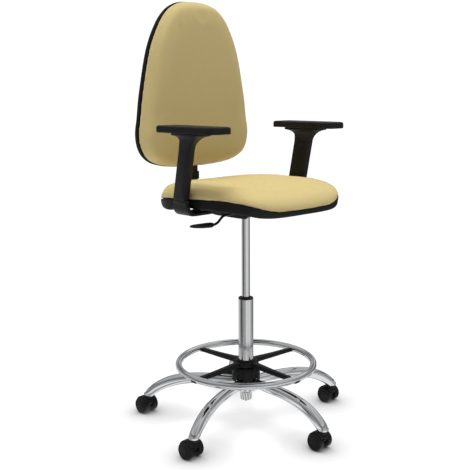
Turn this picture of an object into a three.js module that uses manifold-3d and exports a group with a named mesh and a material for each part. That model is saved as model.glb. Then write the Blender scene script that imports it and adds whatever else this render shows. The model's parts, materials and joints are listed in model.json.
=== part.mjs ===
// Adjustable swivel stool: tall gas-lift work chair with a foot ring, T arms,
// a tapered padded back and a five-star base on twin-wheel castors.
// Millimetres, +Z up, the sitter faces -Y. The column axis is x = 0, y = 0 in
// the working frame; everything is moved by Y_SHIFT at the end so that the
// middle of the overall box's underside is the origin.
import * as THREE from 'three';
import { mergeVertices } from 'three/addons/utils/BufferGeometryUtils.js';
import Module from 'manifold-3d';
const wasm = await Module();
wasm.setup();

// ---------------------------------------------------------------- dimensions
const Y_SHIFT = 19.5;          // column axis ends up 19.5 mm behind the origin

const WHEEL_R = 27.5;            // castor wheel radius, axis to flat facet
const WHEEL_SEG = 20;
const WHEEL_IN = 10.5;           // inner face of each wheel from castor middle
const WHEEL_OUT = 30.6;          // outer face
const TRAIL = 14;              // castor trail
const STEM_R = 340;            // pitch radius of the castor stems
const LEG_ANGLES = [-90, -18, 54, 126, 198];
const LEG_END_Z = 63;

const TUBE_R = 25;             // gas-lift outer tube radius
const TUBE_TOP = 420;
const TUBE_BOTTOM = 72;
const ROD_R = 14;              // gas-lift pressure tube radius
const ROD_TOP = 716;
const ROD_BOTTOM = 351;
const PISTON_R = 5;

const RING_R = 224.8;          // foot ring centre-line radius
const RING_TUBE = 11;
const RING_Z = 198.7;
const RING_HUB_LOW = 191.5;
const RING_HUB_TOP = 209.5;

const SEAT_W = 484;
const SEAT_FRONT = -265;
const SEAT_REAR = 230;
const SEAT_N = 3.6;            // plan is a superellipse of this power
const SHELL_FLAT = 742;        // flat underside of the seat shell

const BACK_Y = 254.8;          // seam plane of the back
const BACK_Z = 1043.4;         // height datum of the back outline
const BACK_T = 56;             // cushion in front of the seam
const BACK_ROUND = 32;
const BACK_DEPTH = 30;         // shell behind the seam

const ARM_X = 259.3;
const PAD_X = 254.2;
const PAD_Y = -43.7;
const PAD_L = 257;
const PAD_W = 88;
const PAD_Z0 = 972.8;
const PAD_Z1 = 993.8;
const ARM_LEAN = 0.2;          // forward lean of the arm post, y per z
const armY = z => 13.8 - (z - 771) * ARM_LEAN;
const ARM_TURN = 0.118;         // the post is turned out a little: x per y across its section

const LEVER_Y = -90;
const PIVOT = { x: -40, z: 727 };       // height lever pivot, axis along Y
const BACK_PIVOT = { y: 110, z: 714 };  // back support pivot, axis along X

// ------------------------------------------------------------------- helpers
const rad = d => d * Math.PI / 180;
const clamp = (v, a, b) => Math.min(b, Math.max(a, v));
const smooth = t => { const c = clamp(t, 0, 1); return c * c * (3 - 2 * c); };
const lerp = (a, b, t) => a + (b - a) * t;
function table(points) {       // smooth interpolation through [x, y] pairs
  return v => {
    if (v <= points[0][0]) return points[0][1];
    for (let i = 1; i < points.length; i++) {
      if (v <= points[i][0]) {
        const [x0, y0] = points[i - 1], [x1, y1] = points[i];
        const m = k => {
          if (k <= 0 || k >= points.length - 1) return 0;
          return (points[k + 1][1] - points[k - 1][1]) / (points[k + 1][0] - points[k - 1][0]);
        };
        const h = x1 - x0, t = (v - x0) / h;
        return (2 * t ** 3 - 3 * t ** 2 + 1) * y0 + (t ** 3 - 2 * t ** 2 + t) * h * m(i - 1)
          + (-2 * t ** 3 + 3 * t ** 2) * y1 + (t ** 3 - t ** 2) * h * m(i);
      }
    }
    return points[points.length - 1][1];
  };
}
function geometry(pos, idx) {
  let vol = 0;
  for (let i = 0; i < idx.length; i += 3) {
    const [a, b, c] = [idx[i] * 3, idx[i + 1] * 3, idx[i + 2] * 3];
    vol += pos[a] * (pos[b + 1] * pos[c + 2] - pos[b + 2] * pos[c + 1])
      - pos[a + 1] * (pos[b] * pos[c + 2] - pos[b + 2] * pos[c])
      + pos[a + 2] * (pos[b] * pos[c + 1] - pos[b + 1] * pos[c]);
  }
  const order = idx.slice();
  if (vol < 0) for (let i = 0; i < order.length; i += 3) [order[i + 1], order[i + 2]] = [order[i + 2], order[i + 1]];
  const g = new THREE.BufferGeometry();
  g.setAttribute('position', new THREE.Float32BufferAttribute(pos, 3));
  g.setIndex(order);
  return g;
}
// Closed skin over a stack of rings of equal length. Open stacks get end caps.
function loft(rings, loop = false) {
  const n = rings[0].length, m = rings.length, pos = [], idx = [];
  for (const r of rings) for (const p of r) pos.push(p[0], p[1], p[2]);
  const spans = loop ? m : m - 1;
  for (let i = 0; i < spans; i++) {
    const a = i * n, b = ((i + 1) % m) * n;
    for (let j = 0; j < n; j++) {
      const k = (j + 1) % n;
      idx.push(a + j, a + k, b + k, a + j, b + k, b + j);
    }
  }
  if (!loop) {
    for (const [row, flip] of [[0, true], [m - 1, false]]) {
      const c = [0, 0, 0];
      for (const p of rings[row]) for (let q = 0; q < 3; q++) c[q] += p[q] / n;
      pos.push(...c);
      const ci = pos.length / 3 - 1;
      for (let j = 0; j < n; j++) {
        const k = (j + 1) % n;
        if (flip) idx.push(ci, row * n + k, row * n + j);
        else idx.push(ci, row * n + j, row * n + k);
      }
    }
  }
  return geometry(pos, idx);
}
function circle(r, n, start = 0) {
  return Array.from({ length: n }, (_, i) => {
    const a = start + i * 2 * Math.PI / n;
    return [r * Math.cos(a), r * Math.sin(a)];
  });
}
// Shared vertices only, no zero-area faces, faces outward.
function welded(g) {
  g.deleteAttribute('normal');
  g.deleteAttribute('uv');
  const q = mergeVertices(g, 1e-4), src = q.index.array, idx = [];
  for (let i = 0; i < src.length; i += 3) {
    if (src[i] !== src[i + 1] && src[i + 1] !== src[i + 2] && src[i + 2] !== src[i]) idx.push(src[i], src[i + 1], src[i + 2]);
  }
  return geometry(Array.from(q.attributes.position.array), idx);
}
function lathe(profile, n) {
  const g = new THREE.LatheGeometry(profile.map(([r, z]) => new THREE.Vector2(r, z)), n);
  g.rotateX(Math.PI / 2);
  return welded(g);
}
// Ring of revolution about Z: profile [[r, z], ...] closes on itself.
const turn = (profile, n = 32) => lathe([...profile, profile[0]], n);
// Solid of revolution about Z with flat ends, from axis to axis.
const solidTurn = (profile, n = 24) => lathe([[0, profile[0][1]], ...profile, [0, profile[profile.length - 1][1]]], n);
// Rounded rectangle; radii are the corners in the order (+,+) (-,+) (-,-) (+,-).
function rrect(hx, hy, radii, k = 3) {
  const r = Array.isArray(radii) ? radii : [radii, radii, radii, radii];
  const corners = [[1, 1, 0], [-1, 1, 90], [-1, -1, 180], [1, -1, 270]];
  const out = [];
  corners.forEach(([sx, sy, a0], c) => {
    for (let i = 0; i < k; i++) {
      const a = rad(a0 + 90 * i / (k - 1));
      out.push([sx * (hx - r[c]) + r[c] * Math.cos(a), sy * (hy - r[c]) + r[c] * Math.sin(a)]);
    }
  });
  return out;
}
const at = (pts, z, cx = 0, cy = 0) => pts.map(([x, y]) => [x + cx, y + cy, z]);
function plate(hx, hy, r, z0, z1, cx = 0, cy = 0, k = 3) {
  return loft([at(rrect(hx, hy, r, k), z0, cx, cy), at(rrect(hx, hy, r, k), z1, cx, cy)]);
}
// Cylinder between two points.
function rod(a, b, r, n = 16) {
  const A = new THREE.Vector3(...a), d = new THREE.Vector3(...b).sub(A), L = d.length();
  const g = new THREE.CylinderGeometry(r, r, L, n);
  g.rotateY(Math.PI / n);
  g.translate(0, L / 2, 0);
  g.applyQuaternion(new THREE.Quaternion().setFromUnitVectors(new THREE.Vector3(0, 1, 0), d.normalize()));
  g.translate(A.x, A.y, A.z);
  return welded(g);
}
// Solid swept along a path that stays in one plane. stations: {p, w, h, s}
// p point, w half-size along side, h half-size in the plane.
function sweep(stations, side, section) {
  const S = new THREE.Vector3(...side).normalize();
  const P = stations.map(s => new THREE.Vector3(...s.p));
  return loft(stations.map((s, i) => {
    const t = P[Math.min(i + 1, P.length - 1)].clone().sub(P[Math.max(i - 1, 0)]).normalize();
    if (s.t) t.set(...s.t).normalize();
    const n = S.clone().cross(t).normalize();
    return section(s.w, s.h).map(([a, b]) => P[i].clone().addScaledVector(S, a).addScaledVector(n, b).toArray());
  }));
}
const oval = n => (w, h) => circle(1, n, Math.PI / n).map(([a, b]) => [a * w, b * h]);
const bar = (c, k = 2) => (w, h) => rrect(w, h, Math.min(c, w * 0.98, h * 0.98), k);

function solid(g) {
  const q = welded(g.clone());
  return new wasm.Manifold(new wasm.Mesh({
    numProp: 3,
    vertProperties: new Float32Array(q.attributes.position.array),
    triVerts: new Uint32Array(q.index.array),
  }));
}
function fromSolid(m) {
  const mesh = m.getMesh();
  return geometry(Array.from(mesh.vertProperties), Array.from(mesh.triVerts));
}
function add(...gs) { return fromSolid(gs.map(solid).reduce((a, b) => a.add(b))); }
function cut(g, ...tools) { return fromSolid(tools.map(solid).reduce((a, b) => a.subtract(b), solid(g))); }
function extrudeX(points, x0, x1, holes = []) {   // profile in (y, z) pushed along X
  const shape = new THREE.Shape(points.map(([y, z]) => new THREE.Vector2(y, z)));
  for (const h of holes) shape.holes.push(new THREE.Path(h.map(([y, z]) => new THREE.Vector2(y, z))));
  const q = welded(new THREE.ExtrudeGeometry(shape, { depth: x1 - x0, bevelEnabled: false, curveSegments: 1 }));
  const src = q.attributes.position, pos = [];
  for (let i = 0; i < src.count; i++) pos.push(x0 + src.getZ(i), src.getX(i), src.getY(i));
  return geometry(pos, Array.from(q.index.array));
}
function moved(g, x, y, z, turnZ = 0) {
  const q = g.clone();
  if (turnZ) q.rotateZ(turnZ);
  q.translate(x, y, z);
  return q;
}
function mirrored(g) {
  const p = g.attributes.position, pos = [];
  for (let i = 0; i < p.count; i++) pos.push(-p.getX(i), p.getY(i), p.getZ(i));
  return geometry(pos, Array.from(g.index.array));
}

// ---------------------------------------------------------------- materials
const chrome = { color: 0xd6d8da, roughness: 0.08, metalness: 1 };
const steel = { color: 0x9b9ea1, roughness: 0.35, metalness: 1 };
const black = { color: 0x17181a, roughness: 0.55, metalness: 0 };
const blackMetal = { color: 0x1b1c1e, roughness: 0.45, metalness: 0.6 };
const tread = { color: 0x101112, roughness: 0.6, metalness: 0 };
const cloth = { color: 0xd8c28a, roughness: 0.95, metalness: 0 };
const ply = { color: 0xb89566, roughness: 0.8, metalness: 0 };
const nylon = { color: 0x2a2b2d, roughness: 0.5, metalness: 0 };

const group = new THREE.Group();
group.name = 'swivel_stool';
function piece(name, g, m) {
  const q = g.clone();
  q.translate(0, Y_SHIFT, 0);
  q.computeVertexNormals();
  const mesh = new THREE.Mesh(q, new THREE.MeshStandardMaterial(m));
  mesh.name = name;
  group.add(mesh);
}

// --------------------------------------------------------------------- base
piece('base_hub', turn([[21.0, 106], [33, 106], [36, 110], [36, 157], [25.3, 157], [24.55, 150]], 24), chrome);

const LEG = [
  [36.8, 136.0, 15.0, 15.0], [70, 136.6, 15.4, 16.0], [115, 137.2, 16.0, 17.2], [160, 136.0, 16.2, 17.8],
  [200, 132.2, 16.3, 18.2], [236, 125.4, 16.3, 18.4], [267, 115.6, 16.2, 18.3], [293, 103.4, 16.1, 18.0],
  [314, 90.2, 16.0, 17.4], [328.5, 78.0, 15.9, 16.8], [336.8, 69.4, 15.9, 16.2], [STEM_R, LEG_END_Z, 15.8, 15.8],
];
function legShape(grow, n) {
  return sweep(LEG.map(([r, z, w, h], i) => ({
    p: [r, 0, z], w: w + grow, h: h + grow,
    t: i === 0 ? [1, 0, 0] : i === LEG.length - 1 ? [0, 0, -1] : undefined,
  })), [0, 1, 0], oval(n));
}
const legBody = cut(legShape(0, 12), rod([STEM_R, 0, LEG_END_Z - 6], [STEM_R, 0, 81], 5.9, 10));
LEG_ANGLES.forEach((a, i) => piece(`leg_${i + 1}`, moved(legBody, 0, 0, 0, rad(a)), chrome));

const coverBlank = cut(turn([[36.8, 141], [46, 141], [47, 143], [47, 174], [45.8, 182], [42.6, 187], [38, 189.6], [25.8, 189.6], [25.8, 158.2], [36.8, 158.2]], 30),
  ...LEG_ANGLES.map(a => rod([52.5 * Math.cos(rad(a)), 52.5 * Math.sin(rad(a)), 135], [52.5 * Math.cos(rad(a)), 52.5 * Math.sin(rad(a)), 195], 9.5, 12)));
piece('hub_cover', cut(coverBlank, ...LEG_ANGLES.map(a => {
  const stub = sweep([[30, 136], [60, 136.5]].map(([r, z]) => ({ p: [r, 0, z], w: 16.9, h: 17.0, t: [1, 0, 0.01] })), [0, 1, 0], oval(12));
  return moved(stub, 0, 0, 0, rad(a));
})), black);

// ------------------------------------------------------------------ castors
// Local frame: stem axis at x = 0, y = 0, floor at z = 0, wheels behind (+Y).
const facet = Math.PI / WHEEL_SEG;
function wheel(sign) {
  const k = 1 / Math.cos(facet), R = WHEEL_R * k;
  const prof = [[WHEEL_OUT - 4.6, 4.4], [WHEEL_IN, 4.4], [WHEEL_IN, R - 1], [WHEEL_IN + 1, R], [WHEEL_OUT - 4.5, R],
    [WHEEL_OUT - 0.8, R - 2.6], [WHEEL_OUT, R - 6], [WHEEL_OUT, 6]];
  return loft(prof.map(([x, r]) => circle(r, WHEEL_SEG, -Math.PI / 2 + facet)
    .map(([u, v]) => [sign * x, TRAIL + u, WHEEL_R + v])));
}
const arc = (r, a0, a1, n) => Array.from({ length: n + 1 }, (_, i) => {
  const a = rad(a0 + (a1 - a0) * i / n);
  return [TRAIL + r * Math.cos(a), WHEEL_R + r * Math.sin(a)];
});
const axleHole = Array.from({ length: 10 }, (_, i) => {
  const a = -i * Math.PI / 5 + Math.PI / 10;
  return [TRAIL + 4.3 * Math.cos(a), WHEEL_R + 4.3 * Math.sin(a)];
});
const web = extrudeX([...arc(31, -8, 160, 9), ...arc(15, 200, 330, 3)], -10, 10, [axleHole]);
const guard = extrudeX([...arc(31, 10.67, 141.33, 7), ...arc(28.9, 141.33, 10.67, 7)], -23, 23);
const boss = solidTurn([[10.5, 44], [10.5, 62.4]], 12);
const hoodBody = add(web, guard, cut(boss, rod([-15, TRAIL, WHEEL_R], [15, TRAIL, WHEEL_R], 29.2, 20)), solidTurn([[5.5, 54], [5.5, 79]], 10));
const axleBody = rod([-25, TRAIL, WHEEL_R], [25, TRAIL, WHEEL_R], 3.95, 10);
LEG_ANGLES.forEach((a, i) => {
  const x = STEM_R * Math.cos(rad(a)), y = STEM_R * Math.sin(rad(a));
  piece(`castor_hood_${i + 1}`, moved(hoodBody, x, y, 0), black);
  piece(`castor_axle_${i + 1}`, moved(axleBody, x, y, 0), steel);
  piece(`castor_wheel_${i + 1}a`, moved(wheel(-1), x, y, 0), tread);
  piece(`castor_wheel_${i + 1}b`, moved(wheel(1), x, y, 0), tread);
});

// ----------------------------------------------------------------- gas lift
piece('column_tube', turn([[5.7, TUBE_BOTTOM], [18.6, TUBE_BOTTOM], [19.6, TUBE_BOTTOM + 1.5], [19.6, 99], [18.6, 100], [18.6, 101.5], [19.8, 102.5], [20.5, 105], [24.2, 150],
  [TUBE_R, 158], [TUBE_R, TUBE_TOP], [22.3, TUBE_TOP], [22.3, 158], [17.2, 104], [16, 92], [5.7, 92]], 24), chrome);
piece('guide_bush', turn([[14.35, 347], [21.95, 347], [21.95, 420.4], [25.6, 420.4], [25.6, 423.6], [24.2, 425.4], [14.35, 425.4]], 24), nylon);
piece('pressure_tube', turn([[5.5, ROD_BOTTOM], [ROD_R, ROD_BOTTOM], [ROD_R, 692], [13.4, ROD_TOP], [4.5, ROD_TOP], [4.5, 700],
  [12, 698], [12, 360], [5.5, 360]], 24), chrome);
piece('piston_rod', solidTurn([[4.4, 64.8], [PISTON_R, 65.6], [PISTON_R, 68.4], [9.5, 68.6], [9.5, 71.2], [PISTON_R, 71.4], [PISTON_R, 384], [11.6, 385], [11.6, 397]], 14), steel);
piece('thrust_bearing', turn([[5.3, 92.4], [15.2, 92.4], [15.2, 98.4], [5.3, 98.4]], 18), steel);
piece('valve_button', solidTurn([[3.2, 702.6], [4, 703.4], [4, 721.8], [3.2, 722.6]], 12), steel);

// ---------------------------------------------------------------- foot ring
function torus(R, r, z, nMaj, nMin) {
  const g = new THREE.TorusGeometry(R, r, nMin, nMaj);
  g.translate(0, 0, z);
  return welded(g);
}
piece('foot_ring', torus(RING_R, RING_TUBE, RING_Z, 48, 10), chrome);
const spoke = sweep([[24, 200.0, 12.5, 8.2], [44, 199.6, 12.0, 8.2], [70, 198.4, 10.8, 8.0], [120, 196.0, 9.6, 7.2], [175, 194.2, 8.6, 6.6], [205, 193.2, 8.6, 6.4], [226, 191.8, 8.2, 5.6]]
  .map(([r, z, w, h]) => ({ p: [r, 0, z], w, h, t: [1, 0, 0] })), [0, 1, 0], bar(3, 2));
const ringSeat = torus(RING_R, RING_TUBE + 0.35, RING_Z, 48, 10);
const hubCore = solidTurn([[37.5, RING_HUB_LOW], [39.5, RING_HUB_LOW + 1.5], [39.5, RING_HUB_TOP - 2], [37.5, RING_HUB_TOP]], 24);
const lobe = solidTurn([[9.5, RING_HUB_LOW], [10.5, RING_HUB_LOW + 1.5], [10.5, RING_HUB_TOP - 3], [9, RING_HUB_TOP - 0.8]], 12);
const hubJoined = add(hubCore,
  ...[45, 135, 225, 315].map(a => moved(lobe, 32 * Math.cos(rad(a)), 32 * Math.sin(rad(a)), 0)),
  ...[0, 90, 180, 270].map(a => moved(spoke, 0, 0, 0, rad(a))));
const d45 = [Math.SQRT1_2, Math.SQRT1_2];
const along = (r, z) => [r * d45[0], r * d45[1], z];
piece('ring_hub', cut(hubJoined, ringSeat, solidTurn([[27.9, RING_HUB_LOW - 5], [27.9, RING_HUB_TOP + 5]], 24),
  rod(along(20, 200.6), along(60, 200.6), 5.1, 10)), black);
piece('ring_bush', turn([[25.3, RING_HUB_LOW - 1], [27.6, RING_HUB_LOW - 1], [27.6, RING_HUB_TOP + 0.3], [30.5, RING_HUB_TOP + 0.3], [30.5, RING_HUB_TOP + 1.8],
  [29.5, RING_HUB_TOP + 2.8], [25.3, RING_HUB_TOP + 2.8]], 24), nylon);
// Star-shaped grip: rings about the local Z axis, then laid on its side.
function starKnob(rHead, rStem, stem0, head0, head1, lobes, n) {
  const star = (r, amp, z) => Array.from({ length: n }, (_, i) => {
    const a = i * 2 * Math.PI / n, q = r + amp * Math.cos(lobes * a);
    return [q * Math.cos(a), q * Math.sin(a), z];
  });
  return loft([star(rStem - 0.6, 0, stem0), star(rStem, 0, stem0 + 0.8), star(rStem, 0, head0), star(rHead * 0.62, 0, head0), star(rHead - 1.6, 1.2, head0 + 3),
    star(rHead - 1.4, 1.4, head1 - 3), star(rHead - 3.4, 1.2, head1)]);
}
const ringKnob = starKnob(15, 4.8, 28.4, 55, 73, 5, 20);
ringKnob.rotateY(Math.PI / 2);
piece('ring_knob', moved(ringKnob, 0, 0, 200.6, Math.PI / 4), black);

// -------------------------------------------------------- seat and mechanism
const PLAN_N = 40;
const seatMid = (SEAT_FRONT + SEAT_REAR) / 2, seatHalf = (SEAT_REAR - SEAT_FRONT) / 2;
const seatPlan = Array.from({ length: PLAN_N }, (_, i) => {
  const a = (i + 0.5) * 2 * Math.PI / PLAN_N, c = Math.cos(a), s = Math.sin(a);
  // even spacing along a blend of circle and superellipse
  const k = 1 / Math.pow(Math.pow(Math.abs(c), SEAT_N) + Math.pow(Math.abs(s), SEAT_N), 1 / SEAT_N);
  return [SEAT_W / 2 * c * k, seatHalf * s * k];
});
const seamZ = table([[-265, 744], [-247, 754], [-218, 767.5], [-160, 776], [-80, 775], [0, 770.5], [80, 766.5], [150, 759], [230, 746]]);
const shellZ = table([[-265, 727], [-240, 731], [-212, 739], [-160, 744.5], [-60, 743.8], [0, 743.6], [60, 743.4], [70, 741.5], [85, 735], [115, 727], [150, 726.5], [190, 729], [230, 733]]);
const topZ = (x, y) => 811 + 4 * (x / 200) ** 2 - 20 * clamp((-y - 110) / 155, 0, 1) ** 2 - 5 * clamp((y - 80) / 150, 0, 1)
  - 4 * Math.exp(-(x * x + y * y) / (2 * 100 * 100));
const seatRing = (s, zf) => seatPlan.map(([x, y]) => {
  const px = x * s, py = seatMid + y * s;
  return [px, py, zf(px, py, seatMid + y)];
});
const BOARD = 0.79;
piece('seat_cushion', loft([
  seatRing(0.45, (x, y) => seamZ(y) + 14.4),
  seatRing(BOARD, (x, y) => seamZ(y) + 14.4),
  seatRing(BOARD + 0.015, (x, y) => seamZ(y) + 14.4),
  seatRing(BOARD + 0.02, (x, y) => seamZ(y) + 0.3),
  seatRing(0.94, (x, y) => seamZ(y) + 0.3),
  seatRing(0.996, (x, y, Y) => seamZ(Y) + 0.3),
  ...[[1.004, 0.22], [0.999, 0.48], [0.975, 0.72], [0.93, 0.89], [0.86, 0.975], [0.76, 1], [0.5, 1], [0.2, 1]]
    .map(([s, g]) => seatRing(s, (x, y, Y) => lerp(seamZ(Y) + 0.3, topZ(x, y), g))),
]), cloth);
piece('seat_board', loft([
  ...[0.45, BOARD].map(s => seatRing(s, (x, y) => seamZ(y) + 0.9)),
  ...[BOARD, 0.45].map(s => seatRing(s, (x, y) => seamZ(y) + 11.9)),
]), ply);
const shellOuter = (s, Y) => lerp(shellZ(Y), SHELL_FLAT, smooth((0.955 - s) / 0.455));
piece('seat_shell', loft([
  ...[0.5, 0.7, 0.94].map(s => seatRing(s, (x, y, Y) => shellOuter(s, Y))),
  seatRing(0.978, (x, y, Y) => shellZ(Y) + 2.2),
  seatRing(0.993, (x, y, Y) => lerp(shellZ(Y), seamZ(Y), 0.4)),
  seatRing(0.998, (x, y, Y) => seamZ(Y) - 0.2),
  seatRing(0.979, (x, y, Y) => seamZ(Y) - 0.2),
  seatRing(0.974, (x, y, Y) => lerp(shellZ(Y) + 4, seamZ(Y), 0.4)),
  seatRing(0.955, (x, y, Y) => shellZ(Y) + 6),
  ...[0.92, 0.7, 0.5].map(s => seatRing(s, (x, y, Y) => shellOuter(s, Y) + 4)),
]), black);

const housing = extrudeX([[-98, 737.5], [-98, 724], [-62, 698.5], [-30, 697], [74, 697], [123, 703], [123, 725], [104, 737.5]], -62, 62);
piece('mechanism', cut(add(housing, plate(92, 94, 12, 736.5, 741.7, 0, -11)),
  solidTurn([[14.45, 690], [14.45, 694], [13.8, 717.2]], 24),
  moved(plate(38, 8.5, 1, 717, 735.5), -28, 0, 0),
  plate(56, 23, 3, 690, 733.5, 0, -62), plate(56, 17, 3, 690, 733.5, 0, 52),
  moved(plate(31, 30, 1, 690, 736), 0, 128, 0),
  rod([-70, BACK_PIVOT.y, BACK_PIVOT.z], [70, BACK_PIVOT.y, BACK_PIVOT.z], 5.3, 16)), blackMetal);
piece('back_pivot_pin', rod([-66, BACK_PIVOT.y, BACK_PIVOT.z], [66, BACK_PIVOT.y, BACK_PIVOT.z], 4.9, 16), steel);

// Height lever: wire from over the valve out to the paddle.
const leverCurve = new THREE.CatmullRomCurve3([[7, 0, 727], [-30, 0, 727], [-60, -1, 727], [-78, -22, 727], [-96, -58, 727], [-126, -82, 727],
  [-158, LEVER_Y, 727], [-177, LEVER_Y, 726.2], [-187.5, LEVER_Y, 722], [-195.5, LEVER_Y, 715.4], [-203.2, LEVER_Y, 709], [-212.6, LEVER_Y, 704.6], [-225.4, LEVER_Y, 703.3], [-246, LEVER_Y, 703.3]].map(p => new THREE.Vector3(...p)), false, 'centripetal');
function wire(curve, r, steps, n) {
  const section = new THREE.Shape(circle(r, n, Math.PI / n).map(([a, b]) => new THREE.Vector2(a, b)));
  return welded(new THREE.ExtrudeGeometry(section, { steps, extrudePath: curve, bevelEnabled: false, curveSegments: 1 }));
}
piece('height_lever', wire(leverCurve, 4, 22, 8), blackMetal);
const paddle = sweep([[-225.5, 703.3, 5.6, 5.6], [-229, 703.4, 8.5, 7.2], [-238, 703.8, 12, 7.6], [-256, 704.6, 15, 7.2], [-276, 705.6, 17, 6.2], [-294, 706.6, 15.5, 5], [-305, 707.2, 10.5, 3.7], [-309.5, 707.4, 5.6, 2.4]]
  .map(([x, z, w, h]) => ({ p: [x, LEVER_Y, z], w, h, t: [-1, 0, 0] })), [0, 1, 0], oval(14));
piece('lever_paddle', cut(paddle, wire(leverCurve, 4.3, 22, 8)), black);

// --------------------------------------------------------------------- arms
function arms() {
  // steel L under the seat, shoulder at the seat edge, leaning bar in the sleeve
  const st = [];
  const turned = g => {
    const q = g.clone(), p = q.attributes.position;
    for (let i = 0; i < p.count; i++) p.setX(i, p.getX(i) + ARM_TURN * (p.getY(i) - armY(Math.max(p.getZ(i), 771))) * smooth((p.getZ(i) - 742) / 20));
    return q;
  };
  const push = (x, z, w, h, y, t) => st.push({ p: [x, y, z], w, h, t });
  push(-112, 727, 34, 5, 11, [-1, 0, 0]);
  push(-160, 727, 34, 5, 11, [-1, 0, 0]);
  push(-234, 727, 34, 5, 11, [-1, 0, 0]);
  for (const a of [30, 60]) push(-238.3 - 18.9 * Math.sin(rad(a)), 746 - 19 * Math.cos(rad(a)), 34, 5.6, 11, [-Math.cos(rad(a)), 0, Math.sin(rad(a))]);
  push(-ARM_X, 747, 34, 7.4, 11, [0, 0, 1]);
  push(-ARM_X, 766, 33, 7.4, 11.6, [0, 0, 1]);
  push(-ARM_X, 771.6, 31, 6.6, 13.7, [0, 0, 1]);
  push(-ARM_X, 771.7, 22, 4, 13.7, [0, 0, 1]);
  push(-ARM_X, 888, 22, 4, armY(888), [0, 0, 1]);
  push(-ARM_X, 890, 20, 3, armY(890), [0, 0, 1]);
  const ell = sweep(st, [0, 1, 0], bar(2.5, 2));
  const pad = moved(plate(45, 19, 4, 731, 740.6), -161, 5, 0);
  const bracket = add(turned(ell), pad);
  // sleeve: cavity from the inside top down to the mouth, then the outside up
  const ring = (z, wy, wx, r, y = armY(z), x = -ARM_X, k = ARM_TURN) => rrect(wx, wy, r, 3).map(([u, v]) => [u + x + k * v, v + y, z]);
  const dx = PAD_X - ARM_X;
  const flareY = z => lerp(armY(z), -28, smooth((z - 935) / 30));
  const sleeveBlank = loft([
    ring(935, 10, 2, 1), ring(935, 22.5, 4.4, 1.5), ring(776, 22.5, 4.4, 1.5), ring(772.6, 23, 4.9, 1.5),
    ring(772.6, 29.4, 10.2, 4), ring(775, 31, 11.3, 5), ring(850, 31, 11.3, 5), ring(926, 31, 11.3, 5),
    ring(940, 32.5, 12, 5, flareY(940)), ring(951, 37.5, 13.6, 6, flareY(951)), ring(958.5, 46, 16.6, 7, flareY(958.5), -ARM_X, 0.11),
    ring(963, 55, 22, 8, -28, -ARM_X - dx * 0.6, 0.1), ring(965.4, 61, 28, 9, -29, -ARM_X - dx * 0.8, 0.09),
    ring(965.6, 65.6, 32, 10, -30, -ARM_X - dx, 0.085), ring(972, 66, 32.4, 10.6, -30, -ARM_X - dx, 0.085), ring(972.5, 65, 31.6, 10.2, -30, -ARM_X - dx, 0.085),
  ]);
  const up = new THREE.Vector3(0, -ARM_LEAN, 1).normalize();
  const outv = new THREE.Vector3(0, up.z, -up.y);       // square to the leaning rear face
  const face = new THREE.Vector3(-ARM_X + ARM_TURN * 31, armY(905) + 31, 905);
  const p = d => face.clone().addScaledVector(outv, d).toArray();
  const sleeve = cut(sleeveBlank, rod(p(-7.4), p(6), 6.5, 16));
  const button = rod(p(-4.6), p(2.6), 6.1, 16);
  const radii = [12, 12, 28, 28];
  const pr = (z, inset) => at(rrect(PAD_W / 2 - inset, PAD_L / 2 - inset, radii.map(r => r - inset), 5), z, -PAD_X, PAD_Y);
  const top = loft([pr(PAD_Z0, 2.2), pr(PAD_Z0 + 2, 0.3), pr(PAD_Z0 + 6, 0), pr(PAD_Z1 - 5, 0), pr(PAD_Z1 - 2, 1.4), pr(PAD_Z1 - 0.5, 4.6), pr(PAD_Z1, 9)]);
  return { bracket, sleeve, button, top };
}
const arm = arms();
for (const [side, f] of [['r', g => g], ['l', mirrored]]) {
  piece(`arm_bracket_${side}`, f(arm.bracket), blackMetal);
  piece(`arm_sleeve_${side}`, f(arm.sleeve), black);
  piece(`arm_button_${side}`, f(arm.button), nylon);
  piece(`arm_pad_${side}`, f(arm.top), black);
}

// --------------------------------------------------------------------- back
const supportPath = [[118, 713, 28, 4.5], [160, 708.5, 28, 4], [222, 703.4, 27, 4], [246, 704.4, 26, 4], [261, 711, 25, 4], [269.5, 724, 24, 4], [272, 742, 24, 4], [272, 795.4, 24, 4]];
const support = sweep(supportPath.map(([y, z, w, h]) => ({ p: [0, y, z], w, h })), [1, 0, 0], bar(1.5, 2));
const barrel = rod([-30.4, BACK_PIVOT.y, BACK_PIVOT.z], [30.4, BACK_PIVOT.y, BACK_PIVOT.z], 10, 20);
piece('back_support', cut(add(support, barrel), rod([-40, BACK_PIVOT.y, BACK_PIVOT.z], [40, BACK_PIVOT.y, BACK_PIVOT.z], 5.25, 16)), blackMetal);
piece('back_clamp', cut(plate(27, 15.5, 5, 795.8, 822, 0, 269.5, 4), plate(22.6, 4.5, 1, 780, 840, 0, 262), rod([0, 262, 809], [0, 300, 809], 4.4, 14)), black);
const backKnob = starKnob(17, 4, 266.9, 286, 303, 6, 24);
backKnob.rotateX(-Math.PI / 2);
piece('back_knob', moved(backKnob, 0, 0, 809), black);
piece('back_upright', plate(22, 4, 1.5, 738, 1012, 0, 262, 2), blackMetal);

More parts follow.
